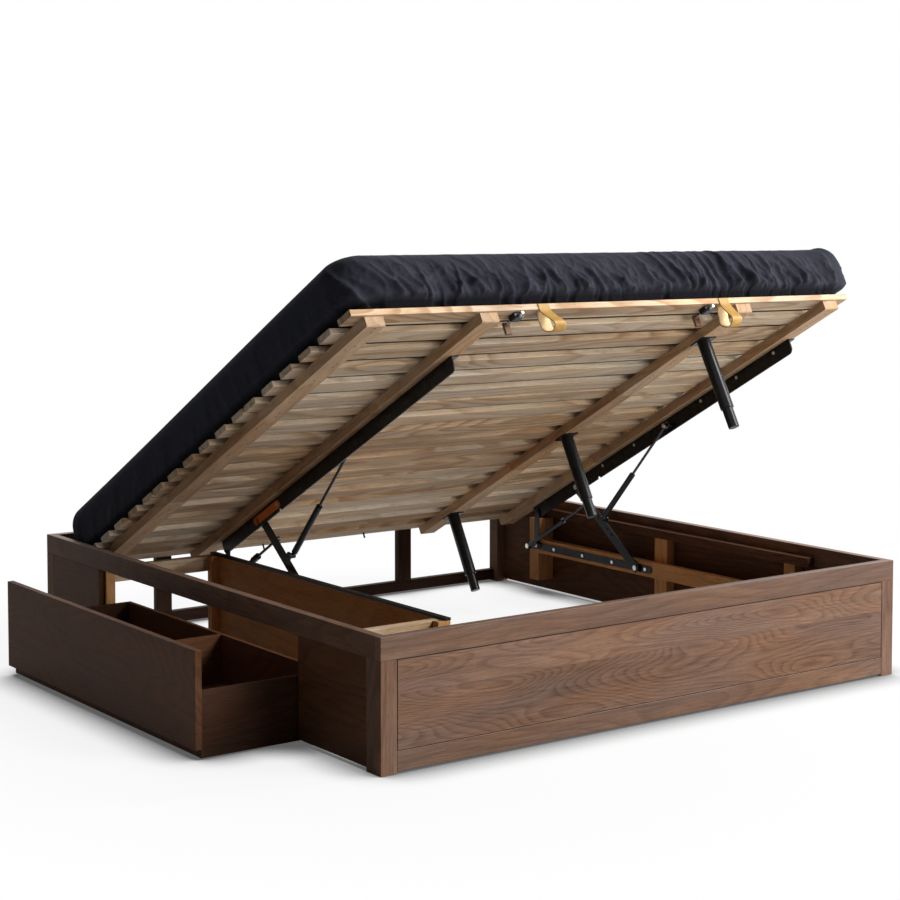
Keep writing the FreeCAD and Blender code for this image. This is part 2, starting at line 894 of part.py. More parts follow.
def soft_slab(grow):
    """The mattress form, grown by some thickness: drawn-in lower sides, soft edges, low crown."""
    middle_y = lowered_foot_edge + platform_length / 2
    bottom = lowered_slat_bottom + slat_thickness
    outlines = []
    for height, inset in mattress_profile(grow):
        half_x = mattress_half_width - inset
        half_y = platform_length / 2 + mattress_overhang - inset
        corner = max(mattress_corner - inset, mattress_least_corner)
        outlines.append(rounded_outline(half_x, half_y, middle_y, bottom + height, corner))
    return Part.makeLoft(outlines, True, True)


def build_bedding():
    """The padded mattress round its hollow spring core, and the fitted sheet drawn over it."""
    mattress = soft_slab(0.0)
    hem = slat_thickness + sheet_hem_height
    below = on_platform(-half_width, half_width, -50, platform_length + 50, -10, hem)
    sheet = soft_slab(sheet_thickness).cut(mattress).cut(below)
    spring_core = soft_slab(-mattress_padding)
    save("mattress", raised(mattress.cut(spring_core)))
    save("fitted_sheet", raised(sheet))


def build_legs():
    """Three support legs under the inner right bearer, each with an adjustable foot."""
    tubes = []
    for along, name in zip(leg_alongs, leg_names):
        centre_y = lowered_foot_edge + along
        plate_bottom = lowered_bearer_bottom - leg_plate_thickness
        flat = block(
            leg_x - leg_plate / 2,
            leg_x + leg_plate / 2,
            centre_y - leg_plate / 2,
            centre_y + leg_plate / 2,
            plate_bottom,
            lowered_bearer_bottom,
        )
        tube_end = vector(leg_x, centre_y, lowered_bearer_bottom - leg_tube_length)
        up = vector(0, 0, 1)
        tube = Part.makeCylinder(leg_radius, leg_tube_length - leg_plate_thickness, tube_end, up)
        bore_length = leg_tube_length - leg_plate_thickness - 4
        bore = Part.makeCylinder(leg_foot_radius + pin_clearance, bore_length, tube_end, up)
        tubes.append(raised(flat.fuse(tube).cut(bore).removeSplitter()))

        foot_end = vector(leg_x, centre_y, lowered_bearer_bottom - leg_total_length)
        foot_length = leg_total_length - leg_tube_length + leg_foot_inside
        foot = Part.makeCylinder(leg_foot_radius, foot_length, foot_end, up)
        rims = [edge for edge in foot.Edges if edge.BoundBox.ZLength < 0.1]
        save("leg_foot_" + name, raised(foot.makeFillet(1.5, rims)))
    save("support_legs", *tubes)


def ribbon(points, start_way, end_way, thickness):
    """A flat strap face of even thickness along a smooth curve in the y z plane."""
    middle = Part.BSplineCurve()
    middle.interpolate(Points=points, InitialTangent=start_way, FinalTangent=end_way)
    steps = 24
    sides_of_strap = ([], [])
    for step in range(steps + 1):
        place = middle.FirstParameter + (middle.LastParameter - middle.FirstParameter) * step / steps
        way = middle.tangent(place)[0]
        across = vector(0, -way.z, way.y) * (thickness / 2)
        sides_of_strap[0].append(middle.value(place) + across)
        sides_of_strap[1].append(middle.value(place) - across)
    curves = []
    for side_points in sides_of_strap:
        curve = Part.BSplineCurve()
        curve.interpolate(side_points)
        curves.append(curve.toShape())
    near = Part.makeLine(sides_of_strap[0][0], sides_of_strap[1][0])
    far = Part.makeLine(sides_of_strap[0][-1], sides_of_strap[1][-1])
    return Part.Face(Part.Wire(Part.__sortEdges__([curves[0], far, curves[1], near])))


def build_straps():
    """Two leather loop pulls on the foot slat."""
    loops = []
    half = strap_thickness / 2
    for centre in strap_centres:
        x = centre - strap_width / 2
        turns = [
            (-half, -strap_straight),
            (-0.5 * strap_front, -0.42 * strap_drop),
            (-0.98 * strap_front, -0.8 * strap_drop),
            ((strap_back - strap_front) / 2, -strap_drop),
            (0.94 * strap_back, -0.8 * strap_drop),
            (0.9 * strap_back, -0.48 * strap_drop),
            (strap_end, -strap_straight),
        ]
        points = [vector(x, *lowered_point(turn)) for turn in turns]
        face = ribbon(points, vector(0, 0, -1), vector(0, 0, 1), strap_thickness)
        loop = face.extrude(vector(strap_width, 0, 0))
        top = slat_thickness - 2
        right = x + strap_width
        loop = loop.fuse(on_platform(x, right, -strap_thickness, 0, -strap_straight, top))
        loop = loop.fuse(on_platform(x, right, strap_end - half, strap_end + half, -strap_straight, 0))
        loops.append(raised(loop.removeSplitter()))
    save("pull_straps", *loops)


def build_latches():
    """Two barrel latches under the foot slat, with their pull tabs, and the two head pins."""
    cases = []
    toward_head = vector(0, 1, 0)
    axis_z = lowered_slat_bottom + latch_axis_up
    for side, x in latch_centres.items():
        case = on_platform(
            x - latch_case_width / 2,
            x + latch_case_width / 2,
            latch_case_range[0],
            latch_case_range[1],
            -latch_case_height,
            0,
        )
        low_edges = [
            edge
            for edge in case.Edges
            if edge.BoundBox.YLength > 1 and edge.CenterOfMass.z < axis_z - 2
        ]
        case = case.makeFillet(6.0, low_edges)
        tip = vector(x, lowered_foot_edge + latch_bolt_tip, axis_z)
        length = latch_tab_range[1] - latch_bolt_tip
        case = case.cut(
            Part.makeCylinder(latch_bolt_radius + pin_clearance, length, tip, toward_head)
        )
        cases.append(raised(case))

        bolt = Part.makeCylinder(latch_bolt_radius, length, tip, toward_head)
        nose = [edge for edge in bolt.Edges if edge.BoundBox.YMax < tip.y + 0.1]
        save("latch_bolt_" + side, raised(bolt.makeFillet(1.8, nose)))

        tab = on_platform(
            x - 11, x + 11, latch_tab_range[0], latch_tab_range[1], latch_tab_drop, -2
        )
        tab = tab.makeFillet(2.5, [edge for edge in tab.Edges if edge.BoundBox.ZLength > 1])
        tab = tab.cut(Part.makeCylinder(latch_bolt_radius, length, tip, toward_head))
        save("latch_tab_" + side, raised(tab))
    save("latch_cases", *cases)

    pins = []
    for x in head_pin_centres:
        top = vector(x, lowered_foot_edge + head_pin_along, lowered_slat_bottom)
        pins.append(raised(Part.makeCylinder(head_pin_radius, head_pin_length, top, vector(0, 0, -1))))
    save("head_pins", *pins)


def build_drawer():
    """The pull-out drawer with its divider and four floor rollers."""
    box_foot = opening_foot_end + drawer_gap + drawer_box_inset
    box_head = opening_head_end - drawer_gap - drawer_box_inset
    front = eased_block(
        drawer_front_outer,
        drawer_front_inner,
        opening_foot_end + drawer_gap,
        opening_head_end - drawer_gap,
        drawer_front_bottom,
        drawer_front_top,
    )
    save("drawer_front", front)
    ends = [
        block(drawer_front_inner, drawer_back, start, start + drawer_wall, drawer_box_bottom, drawer_box_top)
        for start in (box_foot, box_head - drawer_wall)
    ]
    save("drawer_ends", *ends)
    inner_foot = box_foot + drawer_wall
    inner_head = box_head - drawer_wall
    inner_back = drawer_back - drawer_wall
    save(
        "drawer_back",
        block(inner_back, drawer_back, inner_foot, inner_head, drawer_box_bottom, drawer_box_top),
    )
    save(
        "drawer_divider",
        block(
            drawer_front_inner,
            inner_back,
            drawer_divider_y - drawer_wall / 2,
            drawer_divider_y + drawer_wall / 2,
            drawer_floor_top,
            drawer_box_top,
        ),
    )
    save(
        "drawer_floor",
        block(
            drawer_front_inner, inner_back, inner_foot, inner_head, drawer_floor_bottom, drawer_floor_top
        ),
    )

    brackets = []
    for row, x in (
        ("front", drawer_front_inner + roller_inset_x),
        ("back", inner_back - roller_inset_x),
    ):
        rollers = []
        for y in (inner_foot + roller_inset_y, inner_head - roller_inset_y):
            start = vector(x, y - roller_width / 2, roller_radius)
            wheel = Part.makeCylinder(roller_radius, roller_width, start, vector(0, 1, 0))
            rims = [edge for edge in wheel.Edges if edge.BoundBox.YLength < 0.1]
            wheel = wheel.makeFillet(1.5, rims)
            bore = Part.makeCylinder(roller_bore, roller_width, start, vector(0, 1, 0))
            rollers.append(wheel.cut(bore))

            reach = roller_width / 2 + bracket_play + bracket_wall
            top = block(x - 10, x + 10, y - reach, y + reach, drawer_floor_bottom - 2, drawer_floor_bottom)
            for cheek in (y - reach, y + reach - bracket_wall):
                top = top.fuse(
                    block(x - 8, x + 8, cheek, cheek + bracket_wall, roller_radius - 6, drawer_floor_bottom)
                )
            axle_start = vector(x, y - reach, roller_radius)
            axle = Part.makeCylinder(roller_axle, 2 * reach, axle_start, vector(0, 1, 0))
            brackets.append(top.fuse(axle).removeSplitter())
        save("drawer_rollers_" + row, *rollers)
    save("roller_brackets", *brackets)


build_frame()
build_inner_framing()
build_base_bars()
build_slats()
build_arms()
build_links()
build_catches()
build_bedding()
build_legs()
build_straps()
build_latches()
build_drawer()
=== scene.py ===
import itertools
import math
import random

import bpy
from mathutils import Matrix, Vector, noise


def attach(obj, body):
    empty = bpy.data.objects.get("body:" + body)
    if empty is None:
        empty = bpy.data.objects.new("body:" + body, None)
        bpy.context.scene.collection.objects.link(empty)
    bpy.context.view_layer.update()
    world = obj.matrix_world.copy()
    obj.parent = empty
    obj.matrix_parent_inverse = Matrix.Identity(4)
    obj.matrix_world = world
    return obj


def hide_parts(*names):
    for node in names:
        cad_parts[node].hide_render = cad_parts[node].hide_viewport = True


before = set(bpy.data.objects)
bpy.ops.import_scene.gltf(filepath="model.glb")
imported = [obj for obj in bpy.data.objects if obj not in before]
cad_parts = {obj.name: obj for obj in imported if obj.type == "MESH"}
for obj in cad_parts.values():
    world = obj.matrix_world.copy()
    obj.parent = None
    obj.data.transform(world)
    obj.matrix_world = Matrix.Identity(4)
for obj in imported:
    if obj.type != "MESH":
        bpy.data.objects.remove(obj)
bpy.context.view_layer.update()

# Sizes in metres, in the shared frame, as in the part's source
bed_middle_x = 0.153
platform_tilt = math.radians(28.2)
platform_foot_edge = (0.0, -0.8135, 1.144)
platform_length = 1.8635
slat_width = 0.065
slat_thickness = 0.018
slat_pitch = 0.1095
panel_joint_pitch = 0.078
slats_per_panel = 6
slat_count = 18
nailed_bearers = (-0.840, 0.471, 0.840)
bearer_depth = 0.028
mattress_half_width = 0.913
mattress_overhang = 0.014
mattress_thickness = 0.176
strap_centres = (-0.285, 0.390)
foot_board_joint = 0.203
foot_panel_sides = (-0.7395, 1.0455)
foot_panel_heights = (0.058, 0.291)

panel_pitch = (slats_per_panel - 1) * slat_pitch + panel_joint_pitch
panel_gap = panel_joint_pitch - slat_width
platform_matrix = Matrix.Translation(platform_foot_edge) @ Matrix.Rotation(-platform_tilt, 4, "X")


# Helpers for node trees
def new_material(name):
    """A new material, its node tree and its shader node."""
    material = bpy.data.materials.new(name)
    material.use_nodes = True
    tree = material.node_tree
    return material, tree, tree.nodes["Principled BSDF"]


def add_node(tree, kind, settings=None, inputs=None):
    """A node with its settings, and its inputs as plain values or as links."""
    node = tree.nodes.new(kind)
    for name, value in (settings or {}).items():
        setattr(node, name, value)
    for name, value in (inputs or {}).items():
        if isinstance(value, bpy.types.NodeSocket):
            tree.links.new(value, node.inputs[name])
        else:
            node.inputs[name].default_value = value
    return node


def calculate(tree, operation, first, second=0.0):
    """The result of a math node on two sockets or numbers."""
    node = add_node(tree, "ShaderNodeMath", {"operation": operation}, {0: first, 1: second})
    return node.outputs[0]


def colour_ramp(tree, factor, stops):
    """A colour ramp through (place, colour) stops."""
    node = add_node(tree, "ShaderNodeValToRGB", None, {"Fac": factor})
    elements = node.color_ramp.elements
    while len(elements) < len(stops):
        elements.new(0.5)
    for element, (place, colour) in zip(elements, stops):
        element.position = place
        element.color = (*colour, 1.0)
    return node.outputs["Color"]


def grey_range(tree, value, low, high):
    """A value from 0 to 1 moved into a range."""
    inputs = {"Value": value, "To Min": low, "To Max": high}
    return add_node(tree, "ShaderNodeMapRange", None, inputs).outputs["Result"]


def noise_value(tree, place, scale, detail=3.0, roughness=0.5):
    """Noise of a scale at a place."""
    inputs = {"Vector": place, "Scale": scale, "Detail": detail, "Roughness": roughness}
    return add_node(tree, "ShaderNodeTexNoise", None, inputs).outputs["Fac"]


def add_bump(tree, shader, height, distance, strength=1.0):
    """Bump on a shader from a height."""
    inputs = {"Height": height, "Distance": distance, "Strength": strength}
    bump = add_node(tree, "ShaderNodeBump", None, inputs)
    tree.links.new(bump.outputs["Normal"], shader.inputs["Normal"])


def mixed_colour(tree, factor, first, second, blend="MIX"):
    """Two colours mixed by a factor."""
    node = add_node(tree, "ShaderNodeMix", {"data_type": "RGBA", "blend_type": blend})
    for socket, value in ((node.inputs[0], factor), (node.inputs[6], first), (node.inputs[7], second)):
        if isinstance(value, bpy.types.NodeSocket):
            tree.links.new(value, socket)
        else:
            socket.default_value = value
    return node.outputs[2]


def grain_place(tree, along, turn=0.0):
    """Object coordinates turned so that the grain runs along x, as separate sockets."""
    place = add_node(tree, "ShaderNodeTexCoord").outputs["Object"]
    mapped = add_node(tree, "ShaderNodeMapping", None, {"Vector": place})
    mapped.inputs["Rotation"].default_value = (turn, 0.0, 0.0)
    split = add_node(tree, "ShaderNodeSeparateXYZ", None, {"Vector": mapped.outputs["Vector"]})
    names = {"X": ("X", "Y", "Z"), "Y": ("Y", "X", "Z"), "Z": ("Z", "X", "Y")}[along]
    return [split.outputs[name] for name in names]


def stretched(tree, sockets, factors):
    """A vector of three sockets, each times a factor."""
    values = {index: calculate(tree, "MULTIPLY", socket, factor)
              for index, (socket, factor) in enumerate(zip(sockets, factors))}
    return add_node(tree, "ShaderNodeCombineXYZ", None, values).outputs["Vector"]


# Wood: scales of its noises along the grain, across it and in depth, in bumps per metre
ring_scales = (1.15, 6.0, 6.0)
fibre_scales = (9.0, 260.0, 260.0)
broad_scales = (1.6, 9.0, 9.0)
warmth_scales = (2.3, 14.0, 14.0)
pore_scales = (30.0, 800.0, 800.0)

# How much each of them changes the tone, and how far apart in the noise two boards are cut
fibre_share = 0.70
broad_share = 0.60
pore_share = 0.42
tone_drop = 0.16
figure_drop = 0.55
board_shift_length = 7.0
board_shift_depth = 0.05

# Width of the painted shade in the gaps round a panel, and how squarely a face must look a way to count in
# full
painted_gap_width = 0.01
# Where the painted light on faces that look a way starts to show
lit_front_start = 0.3
top_start = 0.4
full_facing = 0.9

black = (0.0, 0.0, 0.0)
white = (1.0, 1.0, 1.0)


def painted_gap_shade(tree, places):
    """Painted shade: a grey that is dark in the gap along a panel's borders, where shade falls, and white
    inside it.
    """
    nearest = None
    for socket, low, high in places:
        for gap in (calculate(tree, "SUBTRACT", socket, low), calculate(tree, "SUBTRACT", high, socket)):
            nearest = gap if nearest is None else calculate(tree, "MINIMUM", nearest, gap)
    inside = calculate(tree, "DIVIDE", nearest, painted_gap_width)
    return colour_ramp(tree, inside, ((0.16, (0.10, 0.10, 0.10)), (0.28, white)))


def board_value(tree, place, pitch, origin, first):
    """A random value from 0 to 1 for each board along a place."""
    offset = calculate(tree, "SUBTRACT", place, origin)
    step = calculate(tree, "FLOOR", calculate(tree, "DIVIDE", offset, pitch))
    step = calculate(tree, "ADD", step, first)
    pick = add_node(tree, "ShaderNodeTexWhiteNoise", {"noise_dimensions": "1D"}, {"W": step})
    return pick.outputs["Value"]


def facing_value(tree, facing, start, away, towards):
    """A value that changes from one to another as a face turns to look a way."""
    inputs = {
        "Value": facing, "From Min": start, "From Max": full_facing,
        "To Min": away, "To Max": towards,
    }
    return add_node(tree, "ShaderNodeMapRange", None, inputs).outputs["Result"]


def wood(
    name, along, colours, ring_count, figure, gloss=0.05, turn=0.0,
    board=None, borders=None, top_gloss=None, painted_front_light=None
):
    """Sawn wood: growth rings cut to long loops, fibres and pores along the grain.

    board: direction, pitch, origin, number of the first board, and how far the boards' tones differ.
    borders: directions with the low and high ends of a panel, inside the gaps whose shade is painted.
    top_gloss: the gloss of faces that look up.
    painted_front_light: a direction, the painted shade of faces that look elsewhere, and the painted light
    of those that look that way.
    """
    material, tree, shader = new_material(name)
    length, across, depth = grain_place(tree, along, turn)
    whole_place = {"length": length, "across": across, "depth": depth}
    tone = None
    if board is not None:
        direction, pitch, origin, first, tone_share = board
        tone = board_value(tree, whole_place[direction], pitch, origin, first)
        length = calculate(tree, "ADD", length, calculate(tree, "MULTIPLY", tone, board_shift_length))
        depth = calculate(tree, "ADD", depth, calculate(tree, "MULTIPLY", tone, board_shift_depth))
    place = (length, across, depth)
    growth = noise_value(tree, stretched(tree, place, ring_scales), 1.0, 1.6, 0.38)
    rings = calculate(tree, "FRACT", calculate(tree, "MULTIPLY", growth, ring_count))
    ring_line = colour_ramp(tree, rings, (
        (0.0, (0.80, 0.80, 0.80)),
        (0.45, (0.66, 0.66, 0.66)),
        (0.86, black),
        (1.0, (0.72, 0.72, 0.72)),
    ))
    fibre = noise_value(tree, stretched(tree, place, fibre_scales), 1.0, 4.0, 0.6)
    broad = noise_value(tree, stretched(tree, place, broad_scales), 1.0, 3.0)
    warmth = noise_value(tree, stretched(tree, place, warmth_scales), 1.0, 2.0)
    pores = noise_value(tree, stretched(tree, place, pore_scales), 1.0, 2.0)
    pore_mask = colour_ramp(tree, pores, ((0.30, black), (0.42, white)))
    tone_sum = calculate(tree, "MULTIPLY", ring_line, figure)
    tone_sum = calculate(tree, "ADD", tone_sum, calculate(tree, "MULTIPLY", fibre, fibre_share))
    tone_sum = calculate(tree, "ADD", tone_sum, calculate(tree, "MULTIPLY", broad, broad_share))
    tone_sum = calculate(tree, "SUBTRACT", tone_sum, tone_drop + figure_drop * figure)
    if tone is not None:
        tone_sum = calculate(tree, "ADD", tone_sum, calculate(tree, "MULTIPLY", tone, tone_share))
        tone_sum = calculate(tree, "SUBTRACT", tone_sum, tone_share / 2)
    dark, middle, light = colours
    colour = colour_ramp(tree, tone_sum, ((0.10, dark), (0.5, middle), (0.9, light)))
    hue = colour_ramp(tree, warmth, ((0.32, (0.93, 0.98, 1.06)), (0.68, (1.07, 0.98, 0.86))))
    colour = mixed_colour(tree, 1.0, colour, hue, "MULTIPLY")
    shade = mixed_colour(tree, pore_share, (*white, 1.0), pore_mask, "MULTIPLY")
    colour = mixed_colour(tree, 1.0, colour, shade, "MULTIPLY")
    # Painted shade in the gaps round the panel's borders
    if borders is not None:
        places = [(whole_place[direction], low, high) for direction, low, high in borders]
        colour = mixed_colour(tree, 1.0, colour, painted_gap_shade(tree, places), "MULTIPLY")
    # Painted light and shade: faces that look the given way are lightened, the others darkened
    if painted_front_light is not None:
        front, shaded_face_share, lit_front_share = painted_front_light
        normal = add_node(tree, "ShaderNodeTexCoord").outputs["Normal"]
        dot = add_node(tree, "ShaderNodeVectorMath", {"operation": "DOT_PRODUCT"}, {0: normal, 1: front})
        painted_front_light_shade = facing_value(tree, dot.outputs["Value"], lit_front_start, shaded_face_share, lit_front_share)
        colour = mixed_colour(tree, 1.0, colour, painted_front_light_shade, "MULTIPLY")
    tree.links.new(colour, shader.inputs["Base Color"])
    tree.links.new(grey_range(tree, fibre, 0.42, 0.64), shader.inputs["Roughness"])
    shader.inputs["Specular IOR Level"].default_value = gloss
    if top_gloss is not None:
        normal = add_node(tree, "ShaderNodeNewGeometry").outputs["Normal"]
        upward = add_node(tree, "ShaderNodeSeparateXYZ", None, {"Vector": normal}).outputs["Z"]
        gloss_by_face = facing_value(tree, upward, top_start, gloss, top_gloss)
        tree.links.new(gloss_by_face, shader.inputs["Specular IOR Level"])
    height = calculate(tree, "ADD", calculate(tree, "MULTIPLY", fibre, 0.5), pore_mask)
    add_bump(tree, shader, height, 0.00025, 0.5)
    return material


# Dark, middle and light tone of each wood
walnut_colours = ((0.062, 0.034, 0.023), (0.157, 0.089, 0.060), (0.265, 0.163, 0.108))
panel_colours = ((0.064, 0.035, 0.023), (0.162, 0.093, 0.063), (0.268, 0.168, 0.113))
rail_colours = ((0.050, 0.027, 0.018), (0.126, 0.071, 0.047), (0.212, 0.129, 0.083))
# Side walnut, darker than the rest: painted shade of the side panels and drawer front, which face away
# from the light
shaded_side_colours = ((0.042, 0.017, 0.008), (0.092, 0.041, 0.021), (0.150, 0.074, 0.040))
# Walnut much darker again: painted shade of the head's uprights and bottom rail, deep inside the bed
painted_shade_colours = ((0.016, 0.007, 0.004), (0.034, 0.016, 0.010), (0.060, 0.030, 0.019))
pine_colours = ((0.370, 0.235, 0.135), (0.590, 0.450, 0.310), (0.730, 0.610, 0.460))
bearer_colours = ((0.330, 0.190, 0.100), (0.480, 0.315, 0.190), (0.620, 0.455, 0.300))
orange_pine_colours = ((0.400, 0.180, 0.070), (0.580, 0.300, 0.130), (0.700, 0.410, 0.200))
plywood_colours = ((0.340, 0.150, 0.052), (0.520, 0.255, 0.098), (0.640, 0.345, 0.155))
drawer_colours = ((0.060, 0.025, 0.012), (0.115, 0.052, 0.027), (0.175, 0.087, 0.049))
# Drawer boards darker still: painted shade of the drawer's ends, which the frame's corner shades
shaded_drawer_end_colours = ((0.028, 0.012, 0.006), (0.058, 0.026, 0.014), (0.095, 0.047, 0.026))

# Boards whose tones differ: slats, bearers that are spliced between the slat panels, two foot boards
foot_edge_turned = (
    platform_foot_edge[1] * math.cos(platform_tilt) - platform_foot_edge[2] * math.sin(platform_tilt)
)
slat_board = ("across", slat_pitch, 0.0, 0.0, 0.60)
# Painted light on the slats' fronts and painted shade on their other faces
slat_painted_front_light = ((0.0, -math.cos(platform_tilt), math.sin(platform_tilt)), 0.90, 1.36)
bearer_board = ("length", panel_pitch, foot_edge_turned - panel_gap / 2, 0.0, 0.45)
foot_boards = ("depth", foot_board_joint, 0.0, 4.0, 0.18)
# The foot panel's borders, inside the gaps where shade is painted
foot_panel_borders = (("length", *foot_panel_sides), ("depth", *foot_panel_heights))

walnut_across = wood("walnut_across", "X", rail_colours, 14.0, 0.18, 0.14, top_gloss=0.9)
walnut_panel = wood(
    "walnut_panel", "X", panel_colours, 50.0, 0.22, 0.08, 0.0, foot_boards, foot_panel_borders
)
walnut_long = wood("walnut_long", "Y", walnut_colours, 14.0, 0.18, top_gloss=0.5)
# Painted shade: the darker walnut of the sides
walnut_side = wood("walnut_side", "Y", shaded_side_colours, 18.0, 0.24)
walnut_upright = wood("walnut_upright", "Z", walnut_colours, 14.0, 0.18)
# Painted shade: the darker walnut of the head's uprights and bottom rail
painted_shade_walnut_upright = wood("dark_walnut_upright", "Z", painted_shade_colours, 14.0, 0.18)
painted_shade_walnut_across = wood("dark_walnut_across", "X", painted_shade_colours, 14.0, 0.18)
# The slats carry painted light on their fronts and painted shade elsewhere
pine_across = wood(
    "pine_slats", "X", pine_colours, 14.0, 0.46, 0.05, platform_tilt, slat_board, painted_front_light=slat_painted_front_light
)
pine_along = wood("pine_bearers", "Y", bearer_colours, 14.0, 0.30, 0.05, platform_tilt, bearer_board)
pine_rail = wood("pine_rails", "X", pine_colours, 14.0, 0.26)
pine_upright = wood("pine_posts", "Z", orange_pine_colours, 14.0, 0.26)
pine_long = wood("pine_long_rails", "Y", orange_pine_colours, 14.0, 0.26)
plywood_long = wood("brown_plywood_long", "Y", plywood_colours, 12.0, 0.20)
drawer_long = wood("drawer_boards_long", "Y", drawer_colours, 14.0, 0.20)
drawer_across = wood("drawer_boards_across", "X", drawer_colours, 14.0, 0.20)
# Painted shade: the darker boards of the drawer's ends
shaded_drawer_end_wood = wood("drawer_end_boards", "X", shaded_drawer_end_colours, 14.0, 0.20)


# Metal and plastic
def coated(name, colour, roughness, gloss=0.3, metallic=0.0):
    """Satin paint or powder coat with a fine orange-peel skin and faint rubbed patches."""
    material, tree, shader = new_material(name)
    place = add_node(tree, "ShaderNodeTexCoord").outputs["Object"]
    skin = noise_value(tree, place, 900.0, 2.0)
    patch = noise_value(tree, place, 14.0, 4.0)
    rub = colour_ramp(tree, patch, (
        (0.35, tuple(0.86 * part for part in colour)),
        (0.62, colour),
        (0.80, tuple(1.22 * part + 0.001 for part in colour)),
    ))
    tree.links.new(rub, shader.inputs["Base Color"])
    tree.links.new(grey_range(tree, patch, roughness - 0.07, roughness + 0.09), shader.inputs["Roughness"])
    shader.inputs["Metallic"].default_value = metallic
    shader.inputs["Specular IOR Level"].default_value = gloss
    add_bump(tree, shader, skin, 0.0002, 0.25)
    return material


def bare_steel(name, colour, roughness):
    """Zinc-plated or polished steel with fine drawn lines."""
    material, tree, shader = new_material(name)
    place = add_node(tree, "ShaderNodeTexCoord").outputs["Object"]
    lines = noise_value(tree, place, 260.0, 3.0)
    cloud = noise_value(tree, place, 40.0, 3.0)
    tint = colour_ramp(tree, cloud, (
        (0.3, tuple(0.78 * part for part in colour)),
        (0.7, colour),
    ))
    tree.links.new(tint, shader.inputs["Base Color"])
    shader.inputs["Metallic"].default_value = 1.0
    tree.links.new(grey_range(tree, lines, roughness - 0.08, roughness + 0.12), shader.inputs["Roughness"])
    add_bump(tree, shader, lines, 0.0001, 0.2)
    return material


black_steel = coated("black_powder_coat", (0.0055, 0.0055, 0.0062), 0.27, 0.2)
black_plastic = coated("black_plastic", (0.0080, 0.0080, 0.0088), 0.48, 0.2)
orange_steel = coated("orange_paint", (0.80, 0.190, 0.014), 0.40)
dark_rod = coated("black_rod_steel", (0.045, 0.045, 0.050), 0.26, 0.5, 1.0)
bright_steel = bare_steel("bright_steel", (0.66, 0.65, 0.63), 0.26)


# Leather
def leather(name, colour, roughness=0.55):
    """Leather with pebbled grain and a slightly rubbed tone."""
    material, tree, shader = new_material(name)
    place = add_node(tree, "ShaderNodeTexCoord").outputs["Object"]
    cells = add_node(tree, "ShaderNodeTexVoronoi", None, {"Vector": place, "Scale": 620.0})
    pebble = cells.outputs["Distance"]
    wear = noise_value(tree, place, 55.0, 4.0)
    tint = colour_ramp(tree, wear, (
        (0.25, tuple(0.72 * part for part in colour)),
        (0.55, colour),
        (0.85, tuple(min(1.0, 1.18 * part) for part in colour)),
    ))
    tree.links.new(tint, shader.inputs["Base Color"])
    tree.links.new(grey_range(tree, wear, roughness - 0.1, roughness + 0.1), shader.inputs["Roughness"])
    add_bump(tree, shader, pebble, 0.0004, 0.5)
    return material


tan_leather = leather("mustard_leather", (0.47, 0.26, 0.055))
suede = leather("pale_suede", (0.80, 0.60, 0.33), 0.85)
brown_leather = leather("brown_leather", (0.150, 0.065, 0.028))
thread = leather("waxed_thread", (0.66, 0.45, 0.16), 0.7)


# Cloth
wave_period = 0.314
# How dark the painted shade is at the sheet's hem, in the recess under the skirt
painted_hem_shade = 0.25


def cotton(name, colour, thread_size, sheen, hem=None):
    """Plain-weave cotton: two crossing threads, slubs, crinkles and a soft sheen, with painted shade
    darkening it towards the hem.
    """
    material, tree, shader = new_material(name)
    place = add_node(tree, "ShaderNodeTexCoord").outputs["UV"]
    waves = []
    for direction in ("X", "Y"):
        wave = add_node(
            tree,
            "ShaderNodeTexWave",
            {"wave_type": "BANDS", "bands_direction": direction},
            {"Vector": place, "Scale": wave_period / thread_size, "Distortion": 0.6, "Detail": 1.0},
        )
        waves.append(wave.outputs["Fac"])
    weave = calculate(tree, "MULTIPLY", waves[0], waves[1])
    slub = noise_value(tree, place, 90.0, 4.0)
    tint = colour_ramp(tree, slub, (
        (0.25, tuple(0.80 * part for part in colour)),
        (0.55, colour),
        (0.85, tuple(1.20 * part for part in colour)),
    ))
    # Painted shade: darker towards the hem, where the skirt turns under
    if hem is not None:
        height = add_node(tree, "ShaderNodeSeparateXYZ", None, {"Vector": place}).outputs["Y"]
        hem_range = {"Value": height, "From Min": hem[0], "From Max": hem[1], "To Min": painted_hem_shade}
        painted_hem_band = add_node(tree, "ShaderNodeMapRange", None, hem_range).outputs["Result"]
        tint = mixed_colour(tree, 1.0, tint, painted_hem_band, "MULTIPLY")
    tree.links.new(tint, shader.inputs["Base Color"])
    tree.links.new(grey_range(tree, slub, 0.72, 0.90), shader.inputs["Roughness"])
    shader.inputs["Sheen Weight"].default_value = sheen
    shader.inputs["Sheen Roughness"].default_value = 0.45
    shader.inputs["Sheen Tint"].default_value = (0.75, 0.80, 1.0, 1.0)
    shader.inputs["Specular IOR Level"].default_value = 0.02
    crinkle = noise_value(tree, place, 75.0, 3.0, 0.55)
    height = calculate(tree, "ADD", calculate(tree, "MULTIPLY", weave, 0.2), crinkle)
    add_bump(tree, shader, height, 0.0016, 0.5)
    return material


# The sheet is painted darker within 24 to 40 mm of its hem, as shade under the skirt
charcoal_cotton = cotton("charcoal_cotton", (0.0340, 0.0350, 0.0455), 0.0007, 0.02, (0.024, 0.040))
dark_ticking = cotton("dark_ticking", (0.030, 0.028, 0.027), 0.0012, 0.02)


